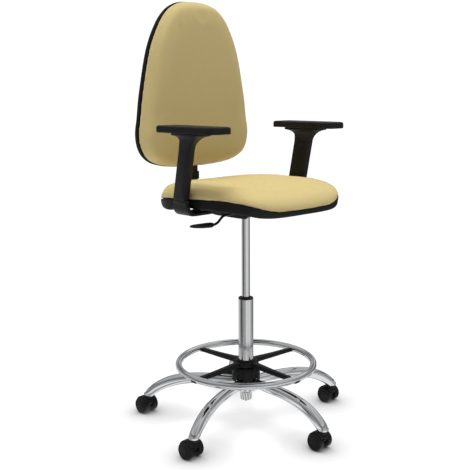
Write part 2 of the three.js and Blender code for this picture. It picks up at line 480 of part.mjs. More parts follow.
const halfBack = [[0, -201.5], [52, -201.2], [104, -198.2], [150, -191.5], [186, -180], [211, -161], [227, -135], [234.4, -104], [234.6, -76],
  [228, -38], [219.2, 26], [207.4, 86], [195, 143], [181, 192], [159.5, 242], [128, 292],
  [96, 321.5], [60, 337.4], [24, 341], [0, 341.2]];
const backOutline = (() => {
  const pts = [...halfBack, ...halfBack.slice(1, -1).reverse().map(([x, s]) => [-x, s])];
  const n = pts.length;
  return pts.map(([x, s], i) => {
    const a = pts[(i + n - 1) % n], b = pts[(i + 1) % n];
    const tx = b[0] - a[0], ts = b[1] - a[1], l = Math.hypot(tx, ts);
    return { x, s, nx: ts / l, ns: -tx / l };
  });
})();
const BC = -30;                 // datum of the inner rings
const backRing = (inset, scale, d) => backOutline.map(({ x, s, nx, ns }) => {
  const px = (x - nx * inset) * scale, ps = BC + (s - ns * inset - BC) * scale;
  return [px, BACK_Y - d, BACK_Z + ps];
});
const dome = phi => [BACK_ROUND * (1 - Math.cos(rad(phi))), BACK_T - BACK_ROUND + BACK_ROUND * Math.sin(rad(phi))];
piece('back_cushion', loft([
  backRing(0, 0.25, 12.4), backRing(0, 0.8, 12.4), backRing(0, 0.805, 0.25), backRing(2, 1, 0.25), backRing(0.4, 1, 1.6), backRing(-0.8, 1, 12),
  ...[0, 24, 46, 66, 90].map(p => { const [i, d] = dome(p); return backRing(i, 1, d); }),
  backRing(BACK_ROUND, 0.82, BACK_T + 1), backRing(BACK_ROUND, 0.5, BACK_T + 1.5), backRing(BACK_ROUND, 0.2, BACK_T + 1.5),
]), cloth);
piece('back_board', loft([backRing(0, 0.25, 1.4), backRing(0, 0.79, 1.4), backRing(0, 0.79, 11.9), backRing(0, 0.25, 11.9)]), ply);
piece('back_bracket', loft([[253.8], [257.6]].map(([y]) => rrect(58, 62, 10, 3).map(([x, z]) => [x, y, 945 + z]))), blackMetal);
const backShellBlank = loft([
  backRing(22, 0.2, -BACK_DEPTH), backRing(22, 0.7, -BACK_DEPTH + 1), backRing(16, 1, -BACK_DEPTH + 3), backRing(6, 1, -BACK_DEPTH + 8), backRing(1.6, 1, -14),
  backRing(0.2, 1, -4), backRing(1.2, 1, -0.3), backRing(4.6, 1, -0.3), backRing(5.6, 1, -13), backRing(9, 1, -BACK_DEPTH + 10.6), backRing(18, 1, -BACK_DEPTH + 6.6),
  backRing(24, 0.7, -BACK_DEPTH + 4.6), backRing(24, 0.2, -BACK_DEPTH + 4),
]);
piece('back_shell', cut(backShellBlank, plate(24, 7, 1.5, 825, 872, 0, 262)), black);

export default group;
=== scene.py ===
import bpy, bmesh, json, math
import numpy as np
from mathutils import Vector, Matrix
from mathutils.bvhtree import BVHTree


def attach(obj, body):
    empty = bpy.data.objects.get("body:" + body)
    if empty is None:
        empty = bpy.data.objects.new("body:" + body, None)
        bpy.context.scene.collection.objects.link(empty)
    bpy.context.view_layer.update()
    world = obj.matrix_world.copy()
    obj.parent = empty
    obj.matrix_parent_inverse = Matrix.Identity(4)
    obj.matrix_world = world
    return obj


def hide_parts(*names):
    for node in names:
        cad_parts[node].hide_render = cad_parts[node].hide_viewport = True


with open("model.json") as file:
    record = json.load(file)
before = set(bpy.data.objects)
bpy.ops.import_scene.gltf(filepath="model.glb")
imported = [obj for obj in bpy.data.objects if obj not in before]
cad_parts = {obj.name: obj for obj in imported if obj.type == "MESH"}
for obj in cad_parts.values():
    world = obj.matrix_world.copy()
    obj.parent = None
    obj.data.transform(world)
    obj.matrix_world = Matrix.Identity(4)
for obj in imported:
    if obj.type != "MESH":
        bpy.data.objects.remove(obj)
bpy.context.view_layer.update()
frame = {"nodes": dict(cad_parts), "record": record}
NODES = frame["nodes"]
SHIFT = 0.0195                      # the column axis is at y = SHIFT
scene = bpy.context.scene
scene.view_settings.view_transform = "Standard"
scene.view_settings.look = "None"

# ------------------------------------------------------------------ camera
AZ, DIST, HIGH, PITCH, ROLL = math.radians(-44.4), 2.5703, 1.0951, math.radians(10.11), math.radians(-0.14)
pos = Vector((DIST * math.sin(AZ), -DIST * math.cos(AZ) + SHIFT, HIGH))
fwd = Vector((-math.sin(AZ) * math.cos(PITCH), math.cos(AZ) * math.cos(PITCH), -math.sin(PITCH)))
right = Vector((math.cos(AZ), math.sin(AZ), 0))
up = right.cross(fwd)
r2 = right * math.cos(ROLL) + up * math.sin(ROLL)
u2 = -right * math.sin(ROLL) + up * math.cos(ROLL)
cam_data = bpy.data.cameras.new("camera")
cam = bpy.data.objects.new("camera", cam_data)
scene.collection.objects.link(cam)
cam.matrix_world = Matrix((
    (r2.x, u2.x, -fwd.x, pos.x), (r2.y, u2.y, -fwd.y, pos.y), (r2.z, u2.z, -fwd.z, pos.z), (0, 0, 0, 1)))
cam_data.sensor_width = 36
cam_data.lens = 801.72 / 470 * 36
cam_data.shift_x = -(245.66 - 235) / 470
cam_data.shift_y = (233.69 - 235) / 470
cam_data.clip_start, cam_data.clip_end = 0.05, 60
scene.camera = cam

# ----------------------------------------------------------- mesh functions
rad = math.radians


def clamp(v, a, b):
    return min(b, max(a, v))


def smooth(t):
    t = clamp(t, 0, 1)
    return t * t * (3 - 2 * t)


def lerp(a, b, t):
    return a + (b - a) * t


def table(points):
    def f(v):
        if v <= points[0][0]:
            return points[0][1]
        for i in range(1, len(points)):
            if v <= points[i][0]:
                (x0, y0), (x1, y1) = points[i - 1], points[i]

                def m(k):
                    if k <= 0 or k >= len(points) - 1:
                        return 0
                    return (points[k + 1][1] - points[k - 1][1]) / (points[k + 1][0] - points[k - 1][0])
                h = x1 - x0
                t = (v - x0) / h
                return ((2 * t ** 3 - 3 * t ** 2 + 1) * y0 + (t ** 3 - 2 * t ** 2 + t) * h * m(i - 1)
                        + (-2 * t ** 3 + 3 * t ** 2) * y1 + (t ** 3 - t ** 2) * h * m(i))
        return points[-1][1]
    return f


def curve_through(points, n, closed=False):
    """n points along a smooth curve through the given 2-D or 3-D points, evenly spaced."""
    P = np.array(points, float)
    if closed:
        P = np.vstack([P[-1], P, P[0], P[1]])
    else:
        P = np.vstack([2 * P[0] - P[1], P, 2 * P[-1] - P[-2]])
    out = []
    for i in range(1, len(P) - 2):
        p0, p1, p2, p3 = P[i - 1:i + 3]
        d0, d1, d2 = (max(np.linalg.norm(b - a) ** 0.5, 1e-6) for a, b in ((p0, p1), (p1, p2), (p2, p3)))
        m1 = d1 * ((p1 - p0) / d0 - (p2 - p0) / (d0 + d1) + (p2 - p1) / d1)
        m2 = d1 * ((p2 - p1) / d1 - (p3 - p1) / (d1 + d2) + (p3 - p2) / d2)
        for t in np.linspace(0, 1, 24, endpoint=False):
            out.append((2 * t ** 3 - 3 * t ** 2 + 1) * p1 + (t ** 3 - 2 * t ** 2 + t) * m1
                       + (-2 * t ** 3 + 3 * t ** 2) * p2 + (t ** 3 - t ** 2) * m2)
    out.append(P[-2])
    out = np.array(out)
    s = np.r_[0, np.cumsum(np.linalg.norm(np.diff(out, axis=0), axis=1))]
    want = np.linspace(0, s[-1], n + 1)[:-1] if closed else np.linspace(0, s[-1], n)
    return np.stack([np.interp(want, s, out[:, k]) for k in range(out.shape[1])], 1)


def circle(r, n, start=0.0):
    a = start + np.arange(n) * 2 * math.pi / n
    return np.stack([r * np.cos(a), r * np.sin(a)], 1)


def rrect(hx, hy, radii, k=5):
    r = radii if isinstance(radii, (list, tuple)) else [radii] * 4
    out = []
    for (sx, sy, a0), q in zip(((1, 1, 0), (-1, 1, 90), (-1, -1, 180), (1, -1, 270)), r):
        q = min(q, hx * 0.999, hy * 0.999)
        for i in range(k):
            a = rad(a0 + 90 * i / (k - 1))
            out.append((sx * (hx - q) + q * math.cos(a), sy * (hy - q) + q * math.sin(a)))
    return np.array(out)


def superellipse(hx, hy, p, n):
    a = (np.arange(n) + 0.5) * 2 * math.pi / n
    c, s = np.cos(a), np.sin(a)
    k = 1 / (np.abs(c) ** p + np.abs(s) ** p) ** (1 / p)
    return np.stack([hx * c * k, hy * s * k], 1)


class Shape:
    """Vertices in millimetres about the column axis, and faces."""

    def __init__(self, v=(), f=()):
        self.v = [tuple(map(float, p)) for p in v]
        self.f = [tuple(q) for q in f]

    def add(self, other):
        n = len(self.v)
        self.v += other.v
        self.f += [tuple(i + n for i in q) for q in other.f]
        return self

    def moved(self, x=0, y=0, z=0, turn=0.0):
        c, s = math.cos(turn), math.sin(turn)
        return Shape([(p[0] * c - p[1] * s + x, p[0] * s + p[1] * c + y, p[2] + z) for p in self.v], self.f)

    def mirrored(self):
        return Shape([(-p[0], p[1], p[2]) for p in self.v], [tuple(reversed(q)) for q in self.f])


def loft(rings, loop=False, caps=True):
    n, m = len(rings[0]), len(rings)
    v = [tuple(p) for r in rings for p in r]
    f = []
    for i in range(m if loop else m - 1):
        a, b = i * n, ((i + 1) % m) * n
        for j in range(n):
            k = (j + 1) % n
            f.append((a + j, a + k, b + k, b + j))
    if not loop and caps:
        for row, flip in ((0, True), (m - 1, False)):
            c = np.mean(np.array(rings[row], float), 0)
            v.append(tuple(c))
            ci = len(v) - 1
            for j in range(n):
                k = (j + 1) % n
                f.append((ci, row * n + k, row * n + j) if flip else (ci, row * n + j, row * n + k))
    return Shape(v, f)


def at(pts, z, cx=0, cy=0):
    return [(p[0] + cx, p[1] + cy, z) for p in pts]


def turn(profile, n=64, loop=True, axis="z", centre=(0, 0, 0)):
    rings = []
    for r, h in profile:
        c = circle(max(r, 1e-4), n)
        if axis == "z":
            rings.append([(centre[0] + a, centre[1] + b, centre[2] + h) for a, b in c])
        elif axis == "x":
            rings.append([(centre[0] + h, centre[1] + a, centre[2] + b) for a, b in c])
        else:
            rings.append([(centre[0] + b, centre[1] + h, centre[2] + a) for a, b in c])
    return loft(rings, loop)


def rounded(profile, r, k=4, closed=True):
    """Rounds every corner of a 2-D profile with radius r (or one per corner)."""
    P = [np.array(p, float) for p in profile]
    n = len(P)
    rr = r if isinstance(r, (list, tuple)) else [r] * n
    out = []
    for i in range(n):
        if (not closed and i in (0, n - 1)) or rr[i] <= 0:
            out.append(tuple(P[i]))
            continue
        a, b, c = P[i - 1], P[i], P[(i + 1) % n]
        u, w = a - b, c - b
        lu, lw = np.linalg.norm(u), np.linalg.norm(w)
        u, w = u / lu, w / lw
        ang = math.acos(clamp(float(u @ w), -0.9999, 0.9999))
        d = min(rr[i] / math.tan(ang / 2), lu * 0.45, lw * 0.45)
        p0, p2 = b + u * d, b + w * d
        for t in np.linspace(0, 1, k):
            out.append(tuple((1 - t) ** 2 * p0 + 2 * t * (1 - t) * b + t * t * p2))
    return out


def sweep(points, side, section, frames=None):
    """section(i, t) gives (a, b) pairs; a goes along side, b square to the path."""
    P = [Vector(p) for p in points]
    S = Vector(side).normalized()
    rings = []
    for i, p in enumerate(P):
        t = (P[min(i + 1, len(P) - 1)] - P[max(i - 1, 0)]).normalized()
        if frames and frames.get(i) is not None:
            t = Vector(frames[i]).normalized()
        nrm = S.cross(t).normalized()
        rings.append([tuple(p + S * a + nrm * b) for a, b in section(i, i / (len(P) - 1))])
    return loft(rings)


def piece(name, shape, material, body, replaces=(), sharp=40, subsurf=0, solidify=0):
    me = bpy.data.meshes.new(name)
    me.from_pydata([(p[0] / 1000, p[1] / 1000 + SHIFT, p[2] / 1000) for p in shape.v], [], shape.f)
    bm = bmesh.new()
    bm.from_mesh(me)
    bmesh.ops.remove_doubles(bm, verts=bm.verts, dist=1e-6)
    bmesh.ops.recalc_face_normals(bm, faces=bm.faces)
    bm.to_mesh(me)
    bm.free()
    o = bpy.data.objects.new(name, me)
    scene.collection.objects.link(o)
    me.shade_smooth()
    if sharp:
        me.set_sharp_from_angle(angle=rad(sharp))
    if subsurf:
        s = o.modifiers.new("subdivision", "SUBSURF")
        s.levels = s.render_levels = subsurf
    me.materials.append(material)
    if replaces:
        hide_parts(*replaces)
    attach(o, body)
    return o


# ---------------------------------------------------------------- materials
class Nodes:
    def __init__(self, name):
        self.m = bpy.data.materials.new(name)
        self.m.use_nodes = True
        self.t = self.m.node_tree
        self.t.nodes.clear()
        self.out = self.t.nodes.new("ShaderNodeOutputMaterial")
        self.b = self.t.nodes.new("ShaderNodeBsdfPrincipled")
        self.t.links.new(self.b.outputs[0], self.out.inputs[0])
        self.co = self.t.nodes.new("ShaderNodeTexCoord")

    def node(self, kind, **inputs):
        n = self.t.nodes.new("ShaderNode" + kind)
        for k, v in inputs.items():
            if k.startswith("_"):
                setattr(n, k[1:], v)
                continue
            sock = n.inputs[int(k[1:])] if k[0] == "i" and k[1:].isdigit() else n.inputs[k.replace("_", " ")]
            if isinstance(v, bpy.types.NodeSocket):
                self.t.links.new(v, sock)
            else:
                sock.default_value = v
        return n

    def math(self, op, a, b=0.0, c=0.0, clamped=False):
        n = self.node("Math", _operation=op, i0=a, i1=b, i2=c)
        n.use_clamp = clamped
        return n.outputs[0]

    def noise(self, scale, detail=3.0, rough=0.5, vector=None, distortion=0.0):
        n = self.node("TexNoise", Scale=scale, Detail=detail, Roughness=rough, Distortion=distortion)
        self.t.links.new(vector if vector is not None else self.co.outputs["Object"], n.inputs["Vector"])
        return n.outputs["Fac"]

    def ramp(self, fac, lo, hi, a, b):
        """Maps fac from lo..hi to a..b, clamped."""
        n = self.node("MapRange", Value=fac, From_Min=lo, From_Max=hi, To_Min=a, To_Max=b)
        return n.outputs[0]

    def mix(self, fac, a, b):
        n = self.t.nodes.new("ShaderNodeMix")
        n.data_type = "RGBA"
        for sock, v in ((n.inputs[0], fac), (n.inputs[6], a), (n.inputs[7], b)):
            if isinstance(v, bpy.types.NodeSocket):
                self.t.links.new(v, sock)
            else:
                sock.default_value = v
        return n.outputs[2]

    def set(self, name, v):
        sock = self.b.inputs[name]
        if isinstance(v, bpy.types.NodeSocket):
            self.t.links.new(v, sock)
        else:
            sock.default_value = v

    def bump(self, height, strength, distance):
        n = self.node("Bump", Height=height, Strength=strength, Distance=distance)
        self.t.links.new(n.outputs[0], self.b.inputs["Normal"])


def chrome(name, base=(0.86, 0.87, 0.885), rough=(0.035, 0.10), wave=0.25):
    k = Nodes(name)
    big, fine = k.noise(9, 2), k.noise(420, 4, 0.6)
    streak = k.noise(60, 3, 0.55)
    k.set("Base Color", k.mix(k.ramp(streak, 0.3, 0.7, 0, 1), (*[c * 0.955 for c in base], 1), (*base, 1)))
    k.set("Metallic", 1.0)
    k.set("Roughness", k.ramp(k.math("ADD", k.math("MULTIPLY", streak, 0.6), k.math("MULTIPLY", fine, 0.4)), 0.3, 0.7, *rough))
    k.bump(k.math("ADD", k.math("MULTIPLY", big, 1.0), k.math("MULTIPLY", fine, 0.012)), wave, 0.0006)
    return k.m


def plastic(name, base=(0.0085, 0.0085, 0.0092), rough=(0.40, 0.55), grain=900, depth=0.00012, light=0.018):
    k = Nodes(name)
    fine = k.noise(grain, 3, 0.55)
    v = k.node("TexVoronoi", Scale=grain * 0.55)
    k.t.links.new(k.co.outputs["Object"], v.inputs["Vector"])
    patch = k.noise(14, 3)
    wear = k.noise(90, 5, 0.65)
    tone = k.mix(k.ramp(patch, 0.35, 0.65, 0, 1), (*[c * 0.82 for c in base], 1), (*[c * 1.18 for c in base], 1))
    tone = k.mix(k.ramp(wear, 0.66, 0.8, 0, 0.5), tone, (light, light, light * 1.03, 1))
    k.set("Base Color", tone)
    k.set("Roughness", k.ramp(k.math("ADD", k.math("MULTIPLY", patch, 0.5), k.math("MULTIPLY", wear, 0.5)), 0.35, 0.65, *rough))
    k.set("Specular IOR Level", 0.28)
    k.bump(k.math("ADD", fine, k.math("MULTIPLY", v.outputs["Distance"], 0.7)), 0.35, depth)
    return k.m


def powder(name, base=(0.0075, 0.0075, 0.0083)):
    k = Nodes(name)
    peel, fine, patch = k.noise(320, 2, 0.45), k.noise(1300, 2), k.noise(25, 3)
    k.set("Base Color", k.mix(k.ramp(patch, 0.3, 0.7, 0, 1), (*[c * 0.8 for c in base], 1), (*[c * 1.25 for c in base], 1)))
    k.set("Metallic", 0.0)
    k.set("Roughness", k.ramp(patch, 0.3, 0.7, 0.3, 0.42))
    k.set("Specular IOR Level", 0.3)
    k.set("Coat Weight", 0.08)
    k.set("Coat Roughness", 0.25)
    k.bump(k.math("ADD", peel, k.math("MULTIPLY", fine, 0.25)), 0.3, 0.0002)
    return k.m


def zinc(name):
    k = Nodes(name)
    turned, blotch = k.noise(700, 3), k.noise(40, 4)
    k.set("Base Color", k.mix(k.ramp(blotch, 0.3, 0.7, 0, 1), (0.42, 0.43, 0.45, 1), (0.62, 0.62, 0.61, 1)))
    k.set("Metallic", 1.0)
    k.set("Roughness", k.ramp(turned, 0.3, 0.7, 0.25, 0.42))
    k.bump(turned, 0.2, 0.0001)
    return k.m


def wood(name):
    k = Nodes(name)
    m = k.node("Mapping", Scale=(60, 4, 60))
    k.t.links.new(k.co.outputs["Object"], m.inputs["Vector"])
    g = k.noise(1.0, 6, 0.6, m.outputs[0], 0.6)
    p = k.noise(420, 2)
    k.set("Base Color", k.mix(k.ramp(g, 0.3, 0.7, 0, 1), (0.36, 0.23, 0.12, 1), (0.62, 0.45, 0.27, 1)))
    k.set("Roughness", k.ramp(g, 0.3, 0.7, 0.55, 0.75))
    k.bump(k.math("ADD", g, k.math("MULTIPLY", p, 0.3)), 0.3, 0.0003)
    return k.m


def cloth(name, base=(0.60, 0.485, 0.225), thread_gap_shade=(0.44, 0.35, 0.150)):
    """Plain weave on all three planes, blended by the surface's own direction."""
    k = Nodes(name)
    sep = k.node("SeparateXYZ", Vector=k.co.outputs["Object"])
    nrm = k.node("SeparateXYZ", Vector=k.co.outputs["Normal"])
    pitch = 2 * math.pi / 0.0013            # one thread pair every 1.3 mm
    X, Y, Z = (k.math("MULTIPLY", sep.outputs[i], pitch) for i in range(3))

    def weave(a, b):
        sa, sb = k.math("SINE", a), k.math("SINE", b)
        over = k.math("MULTIPLY", sa, sb)                       # which thread is on top
        warp = k.math("ABSOLUTE", k.math("SINE", k.math("MULTIPLY", a, 1.0)))
        weft = k.math("ABSOLUTE", k.math("SINE", k.math("MULTIPLY", b, 1.0)))
        pick = k.ramp(over, -0.15, 0.15, 0, 1)
        return k.math("ADD", k.math("MULTIPLY", warp, pick), k.math("MULTIPLY", weft, k.math("SUBTRACT", 1.0, pick)))
    w = [k.math("POWER", k.math("ABSOLUTE", nrm.outputs[i]), 4.0) for i in range(3)]
    total = k.math("ADD", k.math("ADD", w[0], w[1]), w[2])
    height = k.math("ADD", k.math("ADD", k.math("MULTIPLY", weave(Y, Z), w[0]), k.math("MULTIPLY", weave(X, Z), w[1])),
                    k.math("MULTIPLY", weave(X, Y), w[2]))
    height = k.math("DIVIDE", height, k.math("MAXIMUM", total, 0.001))
    fuzz, slub, broad = k.noise(2600, 2, 0.6), k.noise(260, 4, 0.6), k.noise(7, 3)
    # painted shade: the low parts of the weave, between the threads, are coloured darker
    tone = k.mix(k.ramp(height, 0.15, 0.85, 0, 1), (*thread_gap_shade, 1), (*base, 1))
    tone = k.mix(k.ramp(slub, 0.35, 0.7, 0, 0.32), tone, (*[min(1, c * 1.12) for c in base], 1))
    tone = k.mix(k.ramp(broad, 0.3, 0.7, 0, 0.10), tone, (*[c * 0.82 for c in base], 1))
    k.set("Base Color", tone)
    k.set("Roughness", k.ramp(slub, 0.3, 0.7, 0.82, 0.95))
    k.set("Sheen Weight", 0.05)
    k.set("Sheen Roughness", 0.45)
    k.set("Sheen Tint", (0.95, 0.86, 0.66, 1))
    k.set("Specular IOR Level", 0.22)
    k.bump(k.math("ADD", height, k.math("ADD", k.math("MULTIPLY", fuzz, 0.35), k.math("MULTIPLY", slub, 0.5))), 0.45, 0.00035)
    return k.m


CHROME = chrome("chrome_plate")
LIFT = chrome("ground_chrome", (0.80, 0.805, 0.815), (0.12, 0.2), 0.08)
BLACK = plastic("black_plastic")
SHELL = plastic("shell_plastic", (0.0065, 0.0065, 0.0072), (0.45, 0.6), 520, 0.0002, 0.014)
NYLON = plastic("black_nylon", (0.0095, 0.0095, 0.0105), (0.3, 0.42), 1500, 0.00006, 0.02)
TREAD = plastic("castor_nylon", (0.007, 0.007, 0.0078), (0.36, 0.55), 700, 0.00015, 0.02)
STEEL = powder("black_steel")
ZINC = zinc("zinc_steel")
PLY = wood("plywood")
CLOTH = cloth("upholstery_cloth")
BY_SLOT = {"chrome_plate": CHROME, "zinc_steel": ZINC, "black_plastic": BLACK, "black_steel": STEEL,
           "castor_tread": TREAD, "black_nylon": NYLON, "upholstery": CLOTH, "plywood": PLY}
SLOT = {s["node"]: s["material_slot"] for s in frame["record"]["subparts"]}
for name, o in NODES.items():
    m = {"column_tube": LIFT, "pressure_tube": LIFT, "seat_shell": SHELL, "back_shell": SHELL}.get(name, BY_SLOT[SLOT[name]])
    o.data.materials.clear()
    o.data.materials.append(m)
    for key in ("custom_normal",):
        if key in o.data.attributes:
            o.data.attributes.remove(o.data.attributes[key])
    o.data.shade_smooth()
    o.data.set_sharp_from_angle(angle=rad(32))

# -------------------------------------------------------------- base, legs
LEG_ANGLES = (-90, -18, 54, 126, 198)
LEG = [(36.8, 136.0, 15.0, 15.0), (70, 136.6, 15.4, 16.0), (115, 137.2, 16.0, 17.2), (160, 136.0, 16.2, 17.8),
       (200, 132.2, 16.3, 18.2), (236, 125.4, 16.3, 18.4), (267, 115.6, 16.2, 18.3), (293, 103.4, 16.1, 18.0),
       (314, 90.2, 16.0, 17.4), (328.5, 78.0, 15.9, 16.8), (336.8, 69.4, 15.9, 16.2), (340, 63.2, 15.8, 15.8)]
leg_line = curve_through(LEG, 60)


def leg_section(i, t):
    w, h = leg_line[i][2], leg_line[i][3]
    if i >= 58:                                    # rolled lip at the open end
        w, h = w - 0.5 * (i - 57), h - 0.5 * (i - 57)
    flat = 0.9 * smooth((t - 0.52) / 0.3)          # the outer half is pressed flatter on top and below
    p = 2.0 + 0.9 * flat
    a = np.arange(40) * 2 * math.pi / 40
    c, s = np.cos(a), np.sin(a)
    k = 1 / (np.abs(c) ** p + np.abs(s) ** p) ** (1 / p)
    return np.stack([w * c * k, h * s * k * (1 - 0.05 * flat)], 1)


leg_shape = sweep([(q[0], 0, q[1]) for q in leg_line], (0, 1, 0), leg_section, {0: (1, 0, 0), 59: (0, 0, -1)})
leg_shape.add(turn(rounded([(6.2, 62.6), (15.2, 62.6), (16.7, 64.2), (16.9, 69.4), (16.1, 70.6), (6.2, 70.6)], [0.1, 1.2, 1.2, 0.8, 0.5, 0.1]), 48, centre=(340, 0, 0)))
for i, a in enumerate(LEG_ANGLES):
    piece(f"chrome_leg_{i + 1}", leg_shape.moved(turn=rad(a)), CHROME, "base", [f"leg_{i + 1}"])

piece("hub_sleeve", turn(rounded([(21.0, 106), (33.5, 106), (36, 109), (36, 157), (25.3, 157), (24.5, 150)], [0.5, 1, 1, 1, 0.5, 0.1]), 72),
      CHROME, "base", ["base_hub"])

# Cover over the hub: lobes between the legs, a flute over each, its skirt arching over the legs.
N = 240
rings = []
for r, z, dip, cutin in ((26.0, 189.4, 0, 0), (36, 189.6, 0, 0.1), (39.5, 189.2, 0, 0.3), (42.4, 187.4, 0, 0.6), (44.6, 184.2, 0, 0.9), (46.0, 179.8, 0, 1), (46.8, 174, 0, 1), (47, 166, 0.1, 1),
                         (47, 157, 0.6, 1), (47, 148, 1, 1), (46.5, 147.2, 1, 1), (44.6, 147.2, 1, 1), (44.2, 150, 1, 1), (44, 158, 0.4, 1), (43.6, 170, 0, 1), (40, 180, 0, 0.5), (26.0, 184.6, 0, 0)):
    ring = []
    for j in range(N):
        a = 2 * math.pi * j / N
        near = min(abs((math.degrees(a) - q + 180) % 360 - 180) for q in LEG_ANGLES)
        rr = r - cutin * 4.3 * max(0.0, 1 - (near / 11.5) ** 2) ** 1.0
        across = rr * math.sin(rad(near))
        arch = 136.3 + 17.4 * math.sqrt(max(0.0, 1 - (across / 17.2) ** 2)) if near < 60 and across < 17.2 else 0
        edge = max(141.4, arch + 0.4) if arch else 141.4
        zz = lerp(z, edge + (z - 147.6), dip) if dip else z
        ring.append((rr * math.cos(a), rr * math.sin(a), max(zz, edge)))
    rings.append(ring)
piece("hub_skirt", loft(rings, loop=True), BLACK, "base", ["hub_cover"], sharp=50)

# ----------------------------------------------------------------- castors
CZ, CY, CR = 27.5, 14.0, 27.5
wheel_prof = rounded([(0.01, 26.0), (4.4, 26.0), (4.4, 10.6), (24.4, 10.6), (27.5, 11.8), (27.5, 26.2), (25.2, 29.6), (20.5, 30.5), (19.6, 29.4), (17.2, 29.4), (16.4, 30.2), (7.5, 30.9), (0.01, 31.0)],
                     [0, 0.1, 0.1, 0.8, 0.9, 2.6, 1.6, 0.4, 0.4, 0.4, 0.4, 3, 0], closed=False)


def wheel_shape(sign):
    w = turn(wheel_prof, 72, loop=False, axis="x", centre=(0, CY, CZ))
    return w if sign > 0 else w.mirrored()


def arc(r, a0, a1, n):
    return [(CY + r * math.cos(rad(a0 + (a1 - a0) * i / n)), CZ + r * math.sin(rad(a0 + (a1 - a0) * i / n))) for i in range(n + 1)]


def hood_shape():
    # web between the wheels
    prof = arc(30.6, -6, 158, 28) + arc(14.5, 196, 334, 10)
    c = np.mean(np.array(prof), 0)
    s = loft([[(x, c[0] + (y - c[0]) * k, c[1] + (z - c[1]) * k) for y, z in prof] for x, k in ((-9.9, 0.96), (-8.9, 1), (8.9, 1), (9.9, 0.96))])
    # mudguard over both wheels, rounded across, with a rolled lip at each end
    cross = rounded([(-23, 28.9), (-23, 29.6), (-21.2, 30.9), (-12, 31.5), (12, 31.5), (21.2, 30.9), (23, 29.6), (23, 28.9)], [0.2, 0.6, 1.6, 4, 4, 1.6, 0.6, 0.2])
    g = []
    for a in np.linspace(2, 150, 46):
        e = min(a - 2, 150 - a)
        k = 1 - 0.35 * (1 - smooth(e / 5))
        g.append([(x, CY + (28.9 + (r - 28.9) * k) * math.cos(rad(a)), CZ + (28.9 + (r - 28.9) * k) * math.sin(rad(a))) for x, r in cross])
    s.add(loft(g))
    # shoulders rising to the swivel socket
    rows = []
    for z, hx, hy, cy in ((52, 19, 17, 6), (55, 18.4, 16.6, 5.4), (58, 16.4, 15.4, 4), (60.2, 13.8, 13.4, 2), (61.7, 11.8, 11.8, 0.6), (62.3, 10.6, 10.8, 0)):
        rows.append([(x, y + cy, z) for x, y in superellipse(hx, hy, 2.3, 40)])
    s.add(loft(rows))
    s.add(turn([(0.01, 54), (5.5, 54), (5.5, 78), (4.6, 79), (0.01, 79)], 24, loop=False))
    return s


def axle_shape():
    return turn([(0.01, -25), (3.4, -25), (3.9, -24.4), (3.9, 24.4), (3.4, 25), (0.01, 25)], 28, loop=False, axis="x", centre=(0, CY, CZ))


hood, axle = hood_shape(), axle_shape()
for i, a in enumerate(LEG_ANGLES):
    x, y = 340 * math.cos(rad(a)), 340 * math.sin(rad(a))
    n = i + 1
    piece(f"hood_{n}", hood.moved(x, y), BLACK, f"castor_{n}", [f"castor_hood_{n}"])
    piece(f"axle_{n}", axle.moved(x, y), ZINC, f"castor_{n}", [f"castor_axle_{n}"])
    piece(f"wheel_{n}a", wheel_shape(-1).moved(x, y), TREAD, f"wheel_{n}a", [f"castor_wheel_{n}a"])
    piece(f"wheel_{n}b", wheel_shape(1).moved(x, y), TREAD, f"wheel_{n}b", [f"castor_wheel_{n}b"])

# ---------------------------------------------------------------- gas lift
piece("outer_tube", turn(rounded([(5.7, 72), (18.2, 72), (19.6, 73.6), (19.6, 99), (18.5, 100), (18.5, 101.6), (19.8, 102.6), (20.5, 105), (24.2, 150),
                                  (25, 158), (25, 420), (22.3, 420), (22.3, 158), (17.2, 104), (16, 92), (5.7, 92)],
                                 [0.2, 1, 1, 0.4, 0.3, 0.3, 0.4, 1, 6, 3, 0.8, 0.3, 1, 1, 0.5, 0.2], 5), 96),
      LIFT, "base", ["column_tube"])
piece("tube_clip", turn(rounded([(18.7, 100.1), (19.7, 100.1), (19.7, 101.5), (18.7, 101.5)], 0.4), 64), STEEL, "base")
piece("tube_bush", turn(rounded([(14.35, 347), (21.95, 347), (21.95, 420.3), (24.9, 420.3), (24.9, 423.0), (23.4, 424.8), (18.2, 424.8), (16.4, 422.8), (14.35, 422.8)],
                                [0.3, 0.5, 0.2, 0.5, 0.9, 1.0, 0.8, 0.6, 0.3]), 96), NYLON, "base", ["guide_bush"])
piece("inner_tube", turn(rounded([(5.5, 351), (14, 351), (14, 692), (13.4, 716), (4.5, 716), (4.5, 700), (12, 698), (12, 360), (5.5, 360)],
                                 [0.2, 0.8, 2, 0.8, 0.3, 0.1, 0.5, 0.5, 0.2]), 96), LIFT, "seat", ["pressure_tube"])

# --------------------------------------------------------------- foot ring
ring = []
for i in range(160):
    a = 2 * math.pi * i / 160
    ring.append([((224.8 + u) * math.cos(a), (224.8 + u) * math.sin(a), 198.7 + v) for u, v in circle(11, 36)])
piece("ring_tube", loft(ring, loop=True), CHROME, "foot_ring", ["foot_ring"])

piece("ring_collar", turn(rounded([(25.3, 190.5), (27.6, 190.5), (27.6, 209.9), (30.5, 209.9), (30.5, 211.2), (29.3, 212.3), (25.3, 212.3)], [0.2, 0.3, 0.1, 0.5, 0.5, 0.6, 0.3]), 72),
      NYLON, "foot_ring", ["ring_bush"])


